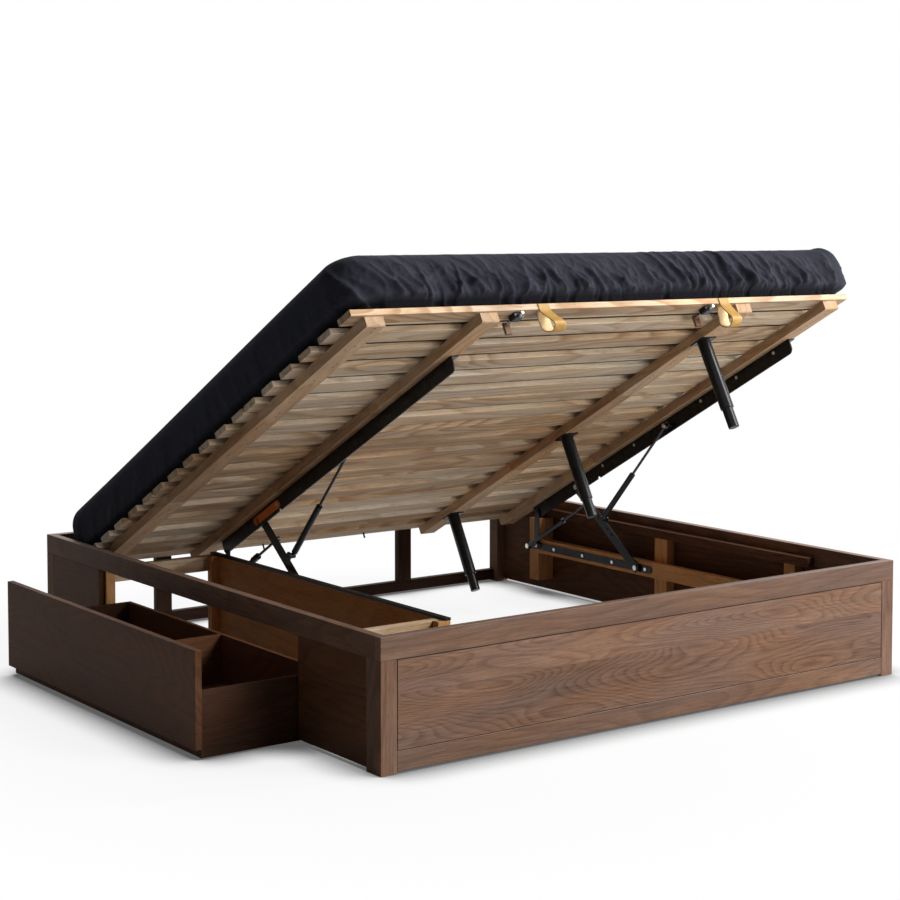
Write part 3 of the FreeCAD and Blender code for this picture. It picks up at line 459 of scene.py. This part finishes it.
# Materials of the pieces that come from the solids
node_materials = {
    walnut_across: ("foot_top_rail", "foot_bottom_rail", "head_top_rail"),
    painted_shade_walnut_across: ("head_bottom_rail",),
    walnut_panel: ("foot_panel",),
    walnut_long: ("left_top_rail", "right_top_rail"),
    walnut_side: ("left_foot_panel", "left_head_panel", "right_panel", "right_ledger", "drawer_front"),
    walnut_upright: ("foot_posts", "head_posts"),
    painted_shade_walnut_upright: ("head_uprights",),
    pine_across: ("slats",),
    pine_along: ("bearer_inner_left", "bearer_inner_right", "bearer_outer_left", "bearer_outer_right"),
    pine_rail: ("bay_rails",),
    pine_upright: ("bay_posts", "right_battens"),
    pine_long: ("mechanism_rails",),
    plywood_long: ("bay_wall",),
    drawer_long: ("drawer_back", "drawer_floor"),
    drawer_across: ("drawer_divider",),
    shaded_drawer_end_wood: ("drawer_ends",),
    black_steel: (
        "base_bars", "lift_arms", "main_links", "rear_links", "gas_cylinders", "damper_bodies",
        "support_legs", "latch_cases", "leg_foot_foot_end", "leg_foot_middle", "leg_foot_head_end",
    ),
    bright_steel: (
        "base_bolts", "base_pivot_pins", "arm_bolts", "arm_pivot_pins", "latch_bolt_left",
        "latch_bolt_right", "roller_brackets",
    ),
    dark_rod: ("gas_rods", "damper_rods"),
    black_plastic: ("bay_wall_cap", "drawer_rollers_front", "drawer_rollers_back", "head_pins"),
    orange_steel: ("safety_catch_left", "safety_catch_right"),
    brown_leather: ("latch_tab_left", "latch_tab_right"),
    tan_leather: ("pull_straps",),
    dark_ticking: ("mattress",),
    charcoal_cotton: ("fitted_sheet",),
}
for finish, names in node_materials.items():
    for name in names:
        slots = bpy.data.objects[name].material_slots
        for slot in slots:
            slot.material = finish


# Pieces made here
def new_piece(name, points, faces, materials, face_materials=None, smooth=True):
    """A mesh piece from points and faces."""
    mesh = bpy.data.meshes.new(name)
    mesh.from_pydata(points, [], faces)
    for material in materials:
        mesh.materials.append(material)
    for index, face in enumerate(mesh.polygons):
        face.use_smooth = smooth
        if face_materials is not None:
            face.material_index = face_materials[index]
    piece = bpy.data.objects.new(name, mesh)
    bpy.context.scene.collection.objects.link(piece)
    return piece


def on_platform(x, along, up):
    """A point given from the bed's middle, the platform's foot edge and the slats' underside."""
    return platform_matrix @ Vector((bed_middle_x + x, along, up))


def set_uvs(piece, places):
    """Texture places in metres, one for each point of a piece."""
    layer = piece.data.uv_layers.new(name="cloth")
    for loop in piece.data.loops:
        layer.data[loop.index].uv = places[loop.vertex_index]


# Mattress and fitted sheet
middle_along = platform_length / 2
mattress_half_length = middle_along + mattress_overhang
sheet_side_inset = 0.004
sheet_end_reach = 0.002
sheet_half_x = mattress_half_width - sheet_side_inset
sheet_half_along = mattress_half_length + sheet_end_reach
hem_inset = 0.026
hem_height = 0.028
top_edge_height = 0.066
top_edge_inset = 0.050
top_crown = 0.008
sheet_corners = (0.052, 0.052, 0.092, 0.052)
fine_spacing = 0.0034
plain_spacing = 0.009


def smooth_step(low, high, value):
    """A smooth rise from 0 to 1 between two values."""
    part = min(1.0, max(0.0, (value - low) / (high - low)))
    return part * part * (3 - 2 * part)


def mattress_side(hem_steps, side_steps, edge_steps):
    """Pairs of height and inset up the side of the mattress, from its underside to its top."""
    pairs = []
    for step in range(hem_steps):
        part = step / hem_steps
        pairs.append((hem_height * part, hem_inset * (1 - part) ** 1.5))
    side_top = mattress_thickness - top_crown - top_edge_height
    for step in range(side_steps):
        pairs.append((hem_height + (side_top - hem_height) * step / side_steps, 0.0))
    for step in range(edge_steps + 1):
        turn = math.radians(90 * step / edge_steps)
        pairs.append((side_top + top_edge_height * math.sin(turn), top_edge_inset * (1 - math.cos(turn))))
    return pairs


def outline_points(half_x, half_along, radii, spacings):
    """Points round a rounded rectangle as (x, along, outward x, outward along, length so far)."""
    points = []
    length = 0.0
    corners = ((1, 1, 0), (-1, 1, 90), (-1, -1, 180), (1, -1, 270))
    centres = [
        Vector((side_x * (half_x - radius), side_along * (half_along - radius)))
        for (side_x, side_along, _), radius in zip(corners, radii)
    ]
    for index, (_, _, turn) in enumerate(corners):
        after = (index + 1) % 4
        arc = radii[index] * math.pi / 2
        count = max(4, round(arc / spacings[index]))
        for step in range(count):
            angle = math.radians(turn + 90 * step / count)
            out = Vector((math.cos(angle), math.sin(angle)))
            points.append((*(centres[index] + radii[index] * out), *out, length))
            length += arc / count
        angle = math.radians(turn + 90)
        out = Vector((math.cos(angle), math.sin(angle)))
        start = centres[index] + radii[index] * out
        end = centres[after] + radii[after] * out
        run = (end - start).length
        count = max(2, round(run / spacings[index]))
        for step in range(count):
            points.append((*start.lerp(end, step / count), *out, length))
            length += run / count
    return points


def grid_faces(rows, columns):
    """Faces of a closed tube of rows, each with the same number of points."""
    faces = []
    for row in range(rows - 1):
        for column in range(columns):
            after = (column + 1) % columns
            faces.append(
                (row * columns + column, row * columns + after,
                 (row + 1) * columns + after, (row + 1) * columns + column)
            )
    return faces


# The top: rings from its edge to its middle, and where its texture starts, away from the skirt's
top_rings = 22
top_place = 5.0
top_dents = 0.0030
top_ripples = 0.0012


def top_height(x, along):
    """How far the mattress top rises over its edge, with shallow dents and ripples."""
    crown = (1 - (x / sheet_half_x) ** 4) * (1 - (along / sheet_half_along) ** 4)
    dents = top_dents * noise.noise((x * 3.1, along * 3.1, 5.0))
    ripples = top_ripples * noise.noise((x * 9.0, along * 13.0, 8.0))
    return max(0.0, crown) * (top_crown + dents + ripples)


def soft_layer(outline, pairs, sink, fold):
    """Points, texture places and faces of a cover over the mattress, with folds from a function."""
    points = []
    places = []
    arc = 0.0
    for index, (height, inset) in enumerate(pairs):
        if index:
            arc += math.dist(pairs[index], pairs[index - 1])
        for x, along, out_x, out_along, length in outline:
            reach = fold(length, out_x, out_along, along, height) - inset
            points.append(
                (x + out_x * reach, middle_along + along + out_along * reach, slat_thickness + height)
            )
            places.append((length, arc))
    edge_height, edge_inset = pairs[-1]
    for ring in range(1, top_rings):
        part = 1 - ring / top_rings
        for x, along, out_x, out_along, length in outline:
            reach = fold(length, out_x, out_along, along, edge_height) - edge_inset
            ring_x = (x + out_x * reach) * part
            ring_along = (along + out_along * reach) * part
            up = slat_thickness + edge_height + top_height(ring_x, ring_along) - sink
            points.append((ring_x, middle_along + ring_along, up))
            places.append((ring_x, top_place + ring_along))
    columns = len(outline)
    rows = len(pairs) + top_rings - 1
    faces = grid_faces(rows, columns)
    faces.append(tuple((rows - 1) * columns + column for column in range(columns)))
    return points, places, faces


# Gathers of the sheet: each starts at the hem and runs up the skirt, leaning as it goes
sheet_spacings = (plain_spacing, plain_spacing, fine_spacing, plain_spacing)
sheet_outline = outline_points(sheet_half_x, sheet_half_along, sheet_corners, sheet_spacings)
foot_lengths = [length for _, _, _, out_along, length in sheet_outline if out_along < -0.9]
foot_start = min(foot_lengths)
foot_end = max(foot_lengths)
hem_end = sheet_outline[-1][4]
gather_bin = 0.02
gather_margin = 0.02
gather_drift = 0.45
gather_random = random.Random(11)
gathers = {}


def add_gather(length, lean, reach, height, width):
    """Keeps one gather in the bins of the hem that it can touch."""
    skew = 1 if gather_random.random() < 0.6 else -1
    entry = (length, lean, reach, height, width, skew)
    side = 6 * width + gather_margin
    first = int((length + min(0.0, lean * height) - side) / gather_bin)
    last = int((length + max(0.0, lean * height) + side) / gather_bin)
    for bin_index in range(first, last + 1):
        gathers.setdefault(bin_index, []).append(entry)


def add_gathers(start, end, lean, spacing, reach, height, width):
    """A run of gathers along the hem, each value picked from its range."""
    place = start
    while place < end:
        drift = gather_drift * noise.noise((place * 2.6, 0.4, 0.0))
        add_gather(
            place,
            gather_random.uniform(*lean) + drift,
            gather_random.uniform(*reach),
            gather_random.uniform(*height),
            gather_random.uniform(*width),
        )
        place += gather_random.uniform(*spacing)


# Kinds of gather as ranges of spacing, reach, height and width, and where each kind is
broad_folds = ((0.055, 0.12), (0.013, 0.024), (0.10, 0.18), (0.015, 0.026))
hem_gathers = ((0.024, 0.055), (0.010, 0.018), (0.06, 0.14), (0.006, 0.011))
tight_pleats = ((0.020, 0.034), (0.010, 0.015), (0.16, 0.20), (0.006, 0.009))
side_folds = ((0.035, 0.085), (0.0025, 0.0065), (0.05, 0.16), (0.009, 0.020))
add_gathers(0.0, foot_start - 0.05, (-0.3, 0.3), *side_folds)
add_gathers(foot_end + 0.05, hem_end, (-0.3, 0.3), *side_folds)
add_gathers(foot_start, foot_end, (-0.6, -0.2), *broad_folds)
add_gathers(foot_start + 0.12, foot_end - 0.10, (-0.9, 0.2), *hem_gathers)
add_gathers(foot_end - 0.66, foot_end - 0.30, (-0.5, -0.3), *tight_pleats)


# Shape of one gather: it widens as it rises, and has a gentle and a steep side
gather_widening = 4.0
gentle_side = 0.6
steep_side = 2.6
gather_end = 4.0
gather_power = 1.15

# Wrinkles of the skirt: scales along the hem and upwards, in bumps per metre, and a layer of the noise
long_wander = (12.0, 17.0, 7.0)
short_wander = (45.0, 50.0, 2.0)
soft_waves = (7.0, 10.0, 4.0)
broad_creases = (15.0, 11.0, 3.0)
fine_creases = (36.0, 22.0, 6.0)
hem_tucks = (16.0, 3.0, 1.0)

# Their depths, in metres
long_wander_depth = 0.009
short_wander_depth = 0.003
side_wave_depth = 0.0015
foot_wave_depth = 0.0040
broad_crease_depth = 0.009
fine_crease_depth = 0.005
tuck_depth = 0.012
crease_slant = 0.4
crease_power = 5

# The mattress's swell behind the sheet, and the room that the rails leave it with the platform down
side_bulge = 0.014
right_bulge = 0.044
bulge_heights = (0.006, 0.040)
bulge_fade = (0.10, 1.60)
right_turn = (0.3, 1.0)
skirt_set_back = 0.003
foot_set_back = 0.016
rail_gap = 0.002
rail_room = (0.016, 0.040)
free_reach = 0.08


def skirt_noise(length, height, scales):
    """Smooth noise, from about -1 to 1, at a place of the skirt."""
    scale_along, scale_up, layer = scales
    return noise.noise((length * scale_along, height * scale_up, layer))


def ridge(length, height, scales):
    """Narrow ridges, from 0 to 1, where smooth noise passes through 0."""
    return (1 - abs(skirt_noise(length, height, scales))) ** crease_power


def sheet_fold(length, out_x, out_along, along, height):
    """How far the sheet stands out from the mattress at a place of its skirt."""
    foot = max(0.0, -out_along)
    place = length + long_wander_depth * skirt_noise(length, height, long_wander)
    place += short_wander_depth * skirt_noise(length, height, short_wander)
    push = 0.0
    for start, lean, reach, top, width, skew in gathers.get(int(length / gather_bin), ()):
        offset = (place - start - lean * height) / (width * (1.0 + gather_widening * height))
        offset *= gentle_side if offset * skew > 0 else steep_side
        if abs(offset) < gather_end:
            taper = max(0.0, 1.0 - (height / top) ** 2)
            push += reach * taper * math.exp(-abs(offset) ** gather_power)
    slant = length + crease_slant * height
    creases = broad_crease_depth * ridge(slant, height, broad_creases)
    creases += fine_crease_depth * ridge(slant, height, fine_creases)
    rise = height / mattress_thickness
    wave_depth = side_wave_depth + foot_wave_depth * foot
    push += wave_depth * skirt_noise(length, height, soft_waves) * max(0.0, 1.0 - rise)
    push += foot * (1 - rise ** 2) * creases
    tucked = max(0.0, 1.0 - height / hem_height)
    push -= tuck_depth * foot * tucked * abs(skirt_noise(length, 1.0, hem_tucks))
    swell = smooth_step(*bulge_heights, height) * (1 - smooth_step(*bulge_fade, middle_along + along))
    bulge = side_bulge + (right_bulge - side_bulge) * smooth_step(*right_turn, out_x)
    free = push + bulge * swell - skirt_set_back - foot_set_back * foot
    return min(free, -rail_gap + free_reach * smooth_step(*rail_room, height))


cover_pairs = mattress_side(9, 14, 14)
sheet_points, sheet_places, sheet_faces = soft_layer(sheet_outline, cover_pairs, 0.0, sheet_fold)
fitted_sheet = new_piece(
    "fitted_sheet_cover", [on_platform(*point) for point in sheet_points], sheet_faces, [charcoal_cotton]
)
set_uvs(fitted_sheet, sheet_places)
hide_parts("fitted_sheet")

# The mattress's own body, inside the sheet and just clear of the slats
core_spacing = 0.03
core_height_share = 0.985
core_inset = 0.034
core_lift = 0.0004
core_sink = 0.003
core_outline = outline_points(sheet_half_x, sheet_half_along, sheet_corners, (core_spacing,) * 4)
core_pairs = [(core_height_share * height, inset + core_inset) for height, inset in cover_pairs]
core_pairs[0] = (core_lift, core_pairs[0][1])
core_points, core_places, core_faces = soft_layer(core_outline, core_pairs, core_sink, lambda *place: 0.0)
core_faces.append(tuple(reversed(range(len(core_outline)))))
mattress_body = new_piece(
    "mattress_body", [on_platform(*point) for point in core_points], core_faces, [dark_ticking]
)
set_uvs(mattress_body, core_places)
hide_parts("mattress")
for piece in (fitted_sheet, mattress_body):
    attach(piece, "platform")


# Leather pull straps
strap_width = 0.040
strap_thickness = 0.003
strap_front = 0.022
strap_back = 0.030
strap_end = 0.013
strap_drops = (0.064, 0.074)
strap_leans = (0.026, 0.008)
lean_power = 1.3
stitch_edge = 0.004
stitch_half_width = 0.0005
stitch_rises = ((0.15, 0.0001), (0.45, 0.0006), (0.75, 0.0001))


def strap_turns(drop):
    """Turning points of a loop as (along, up), from the slat's front face round to its underside."""
    face = -strap_thickness / 2
    return (
        (face, 0.016),
        (face, -0.006),
        (-0.5 * strap_front, -0.42 * drop),
        (-0.98 * strap_front, -0.8 * drop),
        ((strap_back - strap_front) / 2, -drop),
        (0.94 * strap_back, -0.8 * drop),
        (0.9 * strap_back, -0.48 * drop),
        (strap_end, -0.006),
        (strap_end, -0.0002),
    )


def smooth_path(turns, steps):
    """Points on a smooth curve through some turns."""
    ends = [turns[0], *turns, turns[-1]]
    path = []
    for before, start, end, after in zip(ends, ends[1:], ends[2:], ends[3:]):
        for step in range(steps):
            part = step / steps
            point = []
            for a, b, c, d in zip(before, start, end, after):
                point.append(
                    b + 0.5 * part * (c - a + part * (2 * a - 5 * b + 4 * c - d
                                                      + part * (3 * (b - c) + d - a)))
                )
            path.append(tuple(point))
    path.append(tuple(turns[-1]))
    return path


def path_normals(path):
    """Unit normals of a path in its own plane, to the left of its run."""
    normals = []
    for index in range(len(path)):
        before = path[max(0, index - 1)]
        after = path[min(len(path) - 1, index + 1)]
        way = Vector((after[0] - before[0], after[1] - before[1])).normalized()
        normals.append((way.y, -way.x))
    return normals


def strap_section():
    """The strap's section as (across, thickness) points, first its inside, with softened edges."""
    half = strap_width / 2
    thick = strap_thickness / 2
    soft = 0.0009
    return (
        (-half, -thick + soft), (-half + soft, -thick), (-half * 0.8, -thick), (-half * 0.3, -thick),
        (half * 0.3, -thick), (half * 0.8, -thick), (half - soft, -thick), (half, -thick + soft),
        (half, thick - soft), (half - soft, thick), (half * 0.8, thick), (half * 0.3, thick),
        (-half * 0.3, thick), (-half * 0.8, thick), (-half + soft, thick), (-half, thick - soft),
    )


def make_strap(name, centre, drop, lean):
    """One leather loop with painted edges and stitching, leaning sideways as it hangs."""
    def strap_lean(up):
        return lean * max(0.0, -up / drop) ** lean_power

    outside_finish, inside_finish, edge_finish = range(3)
    path = smooth_path(strap_turns(drop), 10)
    normals = path_normals(path)
    section = strap_section()
    points = []
    for (along, up), (out_along, out_up) in zip(path, normals):
        for across, thick in section:
            x = centre + across + strap_lean(up)
            points.append(on_platform(x, along + out_along * thick, up + out_up * thick))
    count = len(section)
    half_count = count // 2
    faces = []
    finishes = []
    for row in range(len(path) - 1):
        for column in range(count):
            after = (column + 1) % count
            faces.append(
                (row * count + column, (row + 1) * count + column,
                 (row + 1) * count + after, row * count + after)
            )
            if after % half_count == 0:
                finishes.append(edge_finish)
            elif column < half_count:
                finishes.append(inside_finish)
            else:
                finishes.append(outside_finish)
    faces.append(tuple(range(count)))
    faces.append(tuple(reversed(range((len(path) - 1) * count, len(path) * count))))
    finishes += [outside_finish, outside_finish]
    strap = new_piece(name, points, faces, [tan_leather, suede, brown_leather], finishes)

    stitch_points = []
    stitch_faces = []
    for across in (-strap_width / 2 + stitch_edge, strap_width / 2 - stitch_edge):
        for row in range(2, len(path) - 3):
            along, up = path[row]
            next_along, next_up = path[row + 1]
            out_along, out_up = normals[row]
            base = len(stitch_points)
            for part, rise in stitch_rises:
                lift = strap_thickness / 2 + rise
                here = along + (next_along - along) * part
                there = up + (next_up - up) * part
                for side in (-stitch_half_width, stitch_half_width):
                    stitch_points.append(
                        on_platform(
                            centre + across + side + strap_lean(there),
                            here + out_along * lift,
                            there + out_up * lift,
                        )
                    )
            stitch_faces.append((base, base + 2, base + 3, base + 1))
            stitch_faces.append((base + 2, base + 4, base + 5, base + 3))
    stitches = new_piece(name + "_stitches", stitch_points, stitch_faces, [thread])
    for piece in (strap, stitches):
        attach(piece, "platform")
    return strap


pull_straps = [
    make_strap(*values)
    for values in zip(("pull_strap_left", "pull_strap_right"), strap_centres, strap_drops, strap_leans)
]
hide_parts("pull_straps")


# Nails that fix the slats to their bearers
def slat_starts():
    """Where each slat starts, from the foot edge of the platform."""
    along = 0.0
    starts = []
    for index in range(slat_count):
        starts.append(along)
        at_joint = (index + 1) % slats_per_panel == 0
        along += panel_joint_pitch if at_joint else slat_pitch
    return starts


nail_radius = 0.0026
nail_crown = 0.0005
nail_crown_share = 0.8
nail_sides = 10
nail_shares = (0.3, 0.7)
nail_wander_x = 0.012
nail_wander_along = 0.003
nail_points = []
nail_faces = []
nail_random = random.Random(5)
for centre in nailed_bearers:
    for start in slat_starts():
        for share in nail_shares:
            x = centre + nail_random.uniform(-nail_wander_x, nail_wander_x)
            along = start + slat_width * share
            along += nail_random.uniform(-nail_wander_along, nail_wander_along)
            base = len(nail_points)
            for radius, depth in ((nail_radius, 0.0), (nail_radius * nail_crown_share, nail_crown)):
                for side in range(nail_sides):
                    angle = 2 * math.pi * side / nail_sides
                    nail_points.append(
                        on_platform(
                            x + radius * math.cos(angle),
                            along + radius * math.sin(angle),
                            -bearer_depth - depth,
                        )
                    )
            for side in range(nail_sides):
                after = (side + 1) % nail_sides
                nail_faces.append(
                    (base + side, base + after, base + nail_sides + after, base + nail_sides + side)
                )
            nail_faces.append(tuple(base + nail_sides + side for side in range(nail_sides)))
bearer_nails = new_piece("bearer_nails", nail_points, nail_faces, [black_steel])
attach(bearer_nails, "platform")

# Recessed board under the drawer's front, between the drawer's ends
plinth_low = (-1.0755, -0.5705, 0.004)
plinth_high = (-1.0635, 0.5735, 0.0278)
plinth_edge_radius = 0.0012
plinth_faces = [(0, 1, 3, 2), (4, 6, 7, 5), (0, 4, 5, 1), (2, 3, 7, 6), (0, 2, 6, 4), (1, 5, 7, 3)]
plinth_points = list(itertools.product(*zip(plinth_low, plinth_high)))
drawer_plinth = new_piece("drawer_plinth", plinth_points, plinth_faces, [walnut_side], smooth=False)
plinth_edge = drawer_plinth.modifiers.new("rounded_edge", "BEVEL")
plinth_edge.width = plinth_edge_radius
plinth_edge.segments = 2
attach(drawer_plinth, "drawer")


# Camera
camera_place = (-3.4339, -4.9247, 1.3805)
camera_yaw = math.radians(35.97)
camera_pitch = math.radians(3.542)
camera_data = bpy.data.cameras.new("camera")
camera_data.lens = 77.349
camera_data.sensor_width = 36.0
camera_data.shift_y = -0.12
camera = bpy.data.objects.new("camera", camera_data)
camera.location = camera_place
camera.rotation_euler = (math.pi / 2 - camera_pitch, 0.0, -camera_yaw)
bpy.context.scene.collection.objects.link(camera)
bpy.context.scene.camera = camera


# Floor and light
def add_lamp(name, place, target, size, power):
    """A soft area lamp aimed at a point."""
    data = bpy.data.lights.new(name, "AREA")
    data.shape = "RECTANGLE"
    data.size, data.size_y = size
    data.energy = power
    lamp = bpy.data.objects.new(name, data)
    lamp.location = place
    lamp.rotation_euler = (Vector(target) - Vector(place)).to_track_quat("-Z", "Y").to_euler()
    bpy.context.scene.collection.objects.link(lamp)


def seen_rays(tree):
    """A value that is 1 for what the camera sees, directly, in gloss or through glass."""
    path = add_node(tree, "ShaderNodeLightPath")
    seen = calculate(tree, "MAXIMUM", path.outputs["Is Camera Ray"], path.outputs["Is Glossy Ray"])
    return calculate(tree, "MAXIMUM", seen, path.outputs["Is Transmission Ray"])


half_floor = 15.0
# Reach of the floor's painted contact shadow
painted_contact_reach = 0.16
shadow_distance = 1.25
glow_distance = 2.3
near_glow = 0.88
floor_mesh = bpy.data.meshes.new("floor")
floor_mesh.from_pydata(
    [(-half_floor, -half_floor, 0.0), (half_floor, -half_floor, 0.0),
     (half_floor, half_floor, 0.0), (-half_floor, half_floor, 0.0)],
    [],
    [(0, 1, 2, 3)],
)
floor = bpy.data.objects.new("floor", floor_mesh)
bpy.context.scene.collection.objects.link(floor)
floor_material, floor_tree, floor_shader = new_material("white_floor")
floor_shader.inputs["Base Color"].default_value = (0.86, 0.86, 0.86, 1.0)
floor_shader.inputs["Roughness"].default_value = 0.9
floor_shader.inputs["Specular IOR Level"].default_value = 0.0
# Painted contact shadow: occlusion darkens the floor's white glow, which the camera sees, near the bed
floor_contact = add_node(
    floor_tree, "ShaderNodeAmbientOcclusion", None, {"Distance": painted_contact_reach}
).outputs["AO"]
floor_painted_shadow = colour_ramp(floor_tree, floor_contact, (
    (0.45, (0.12, 0.12, 0.12)),
    (0.68, (0.60, 0.60, 0.60)),
    (0.92, white),
))
floor_glow = add_node(floor_tree, "ShaderNodeEmission", None, {"Strength": 1.0, "Color": floor_painted_shadow})
floor_plain = add_node(floor_tree, "ShaderNodeBsdfDiffuse", None, {"Color": (0.55, 0.55, 0.55, 1.0)})
floor_place = add_node(floor_tree, "ShaderNodeTexCoord").outputs["Object"]
floor_distance = add_node(floor_tree, "ShaderNodeVectorMath", {"operation": "LENGTH"}, {0: floor_place})
floor_fade = add_node(
    floor_tree,
    "ShaderNodeMapRange",
    {"interpolation_type": "SMOOTHSTEP"},
    {
        "Value": floor_distance.outputs["Value"],
        "From Min": shadow_distance,
        "From Max": glow_distance,
        "To Min": near_glow,
        "To Max": 1.0,
    },
).outputs["Result"]
floor_seen = add_node(floor_tree, "ShaderNodeMixShader", None, {0: floor_fade})
floor_tree.links.new(floor_shader.outputs[0], floor_seen.inputs[1])
floor_tree.links.new(floor_glow.outputs[0], floor_seen.inputs[2])
floor_mix = add_node(floor_tree, "ShaderNodeMixShader", None, {0: seen_rays(floor_tree)})
floor_tree.links.new(floor_plain.outputs[0], floor_mix.inputs[1])
floor_tree.links.new(floor_seen.outputs[0], floor_mix.inputs[2])
floor_tree.links.new(floor_mix.outputs[0], floor_tree.nodes["Material Output"].inputs["Surface"])
floor_mesh.materials.append(floor_material)

world = bpy.data.worlds.new("studio")
bpy.context.scene.world = world
world.use_nodes = True
world_tree = world.node_tree
world_light = world_tree.nodes["Background"]
world_light.inputs["Color"].default_value = (*white, 1.0)
world_light.inputs["Strength"].default_value = 0.05
world_white = add_node(world_tree, "ShaderNodeBackground", None, {"Strength": 1.0, "Color": (*white, 1.0)})
world_mix = add_node(world_tree, "ShaderNodeMixShader")
world_tree.links.new(seen_rays(world_tree), world_mix.inputs[0])
world_tree.links.new(world_light.outputs[0], world_mix.inputs[1])
world_tree.links.new(world_white.outputs[0], world_mix.inputs[2])
world_tree.links.new(world_mix.outputs[0], world_tree.nodes["World Output"].inputs["Surface"])

add_lamp("key", (4.2, -5.8, 5.2), (0.1, -0.8, 0.5), (3.0, 3.0), 680.0)
add_lamp("low", (2.6, -7.6, 0.7), (0.1, -0.4, 0.8), (4.0, 1.0), 200.0)
add_lamp("side", (5.4, -2.6, 1.9), (0.2, -0.8, 1.0), (1.0, 1.0), 270.0)
add_lamp("rim", (1.8, 3.2, 4.6), (0.0, -0.4, 0.4), (3.0, 2.0), 180.0)

bpy.context.scene.view_settings.view_transform = "Standard"
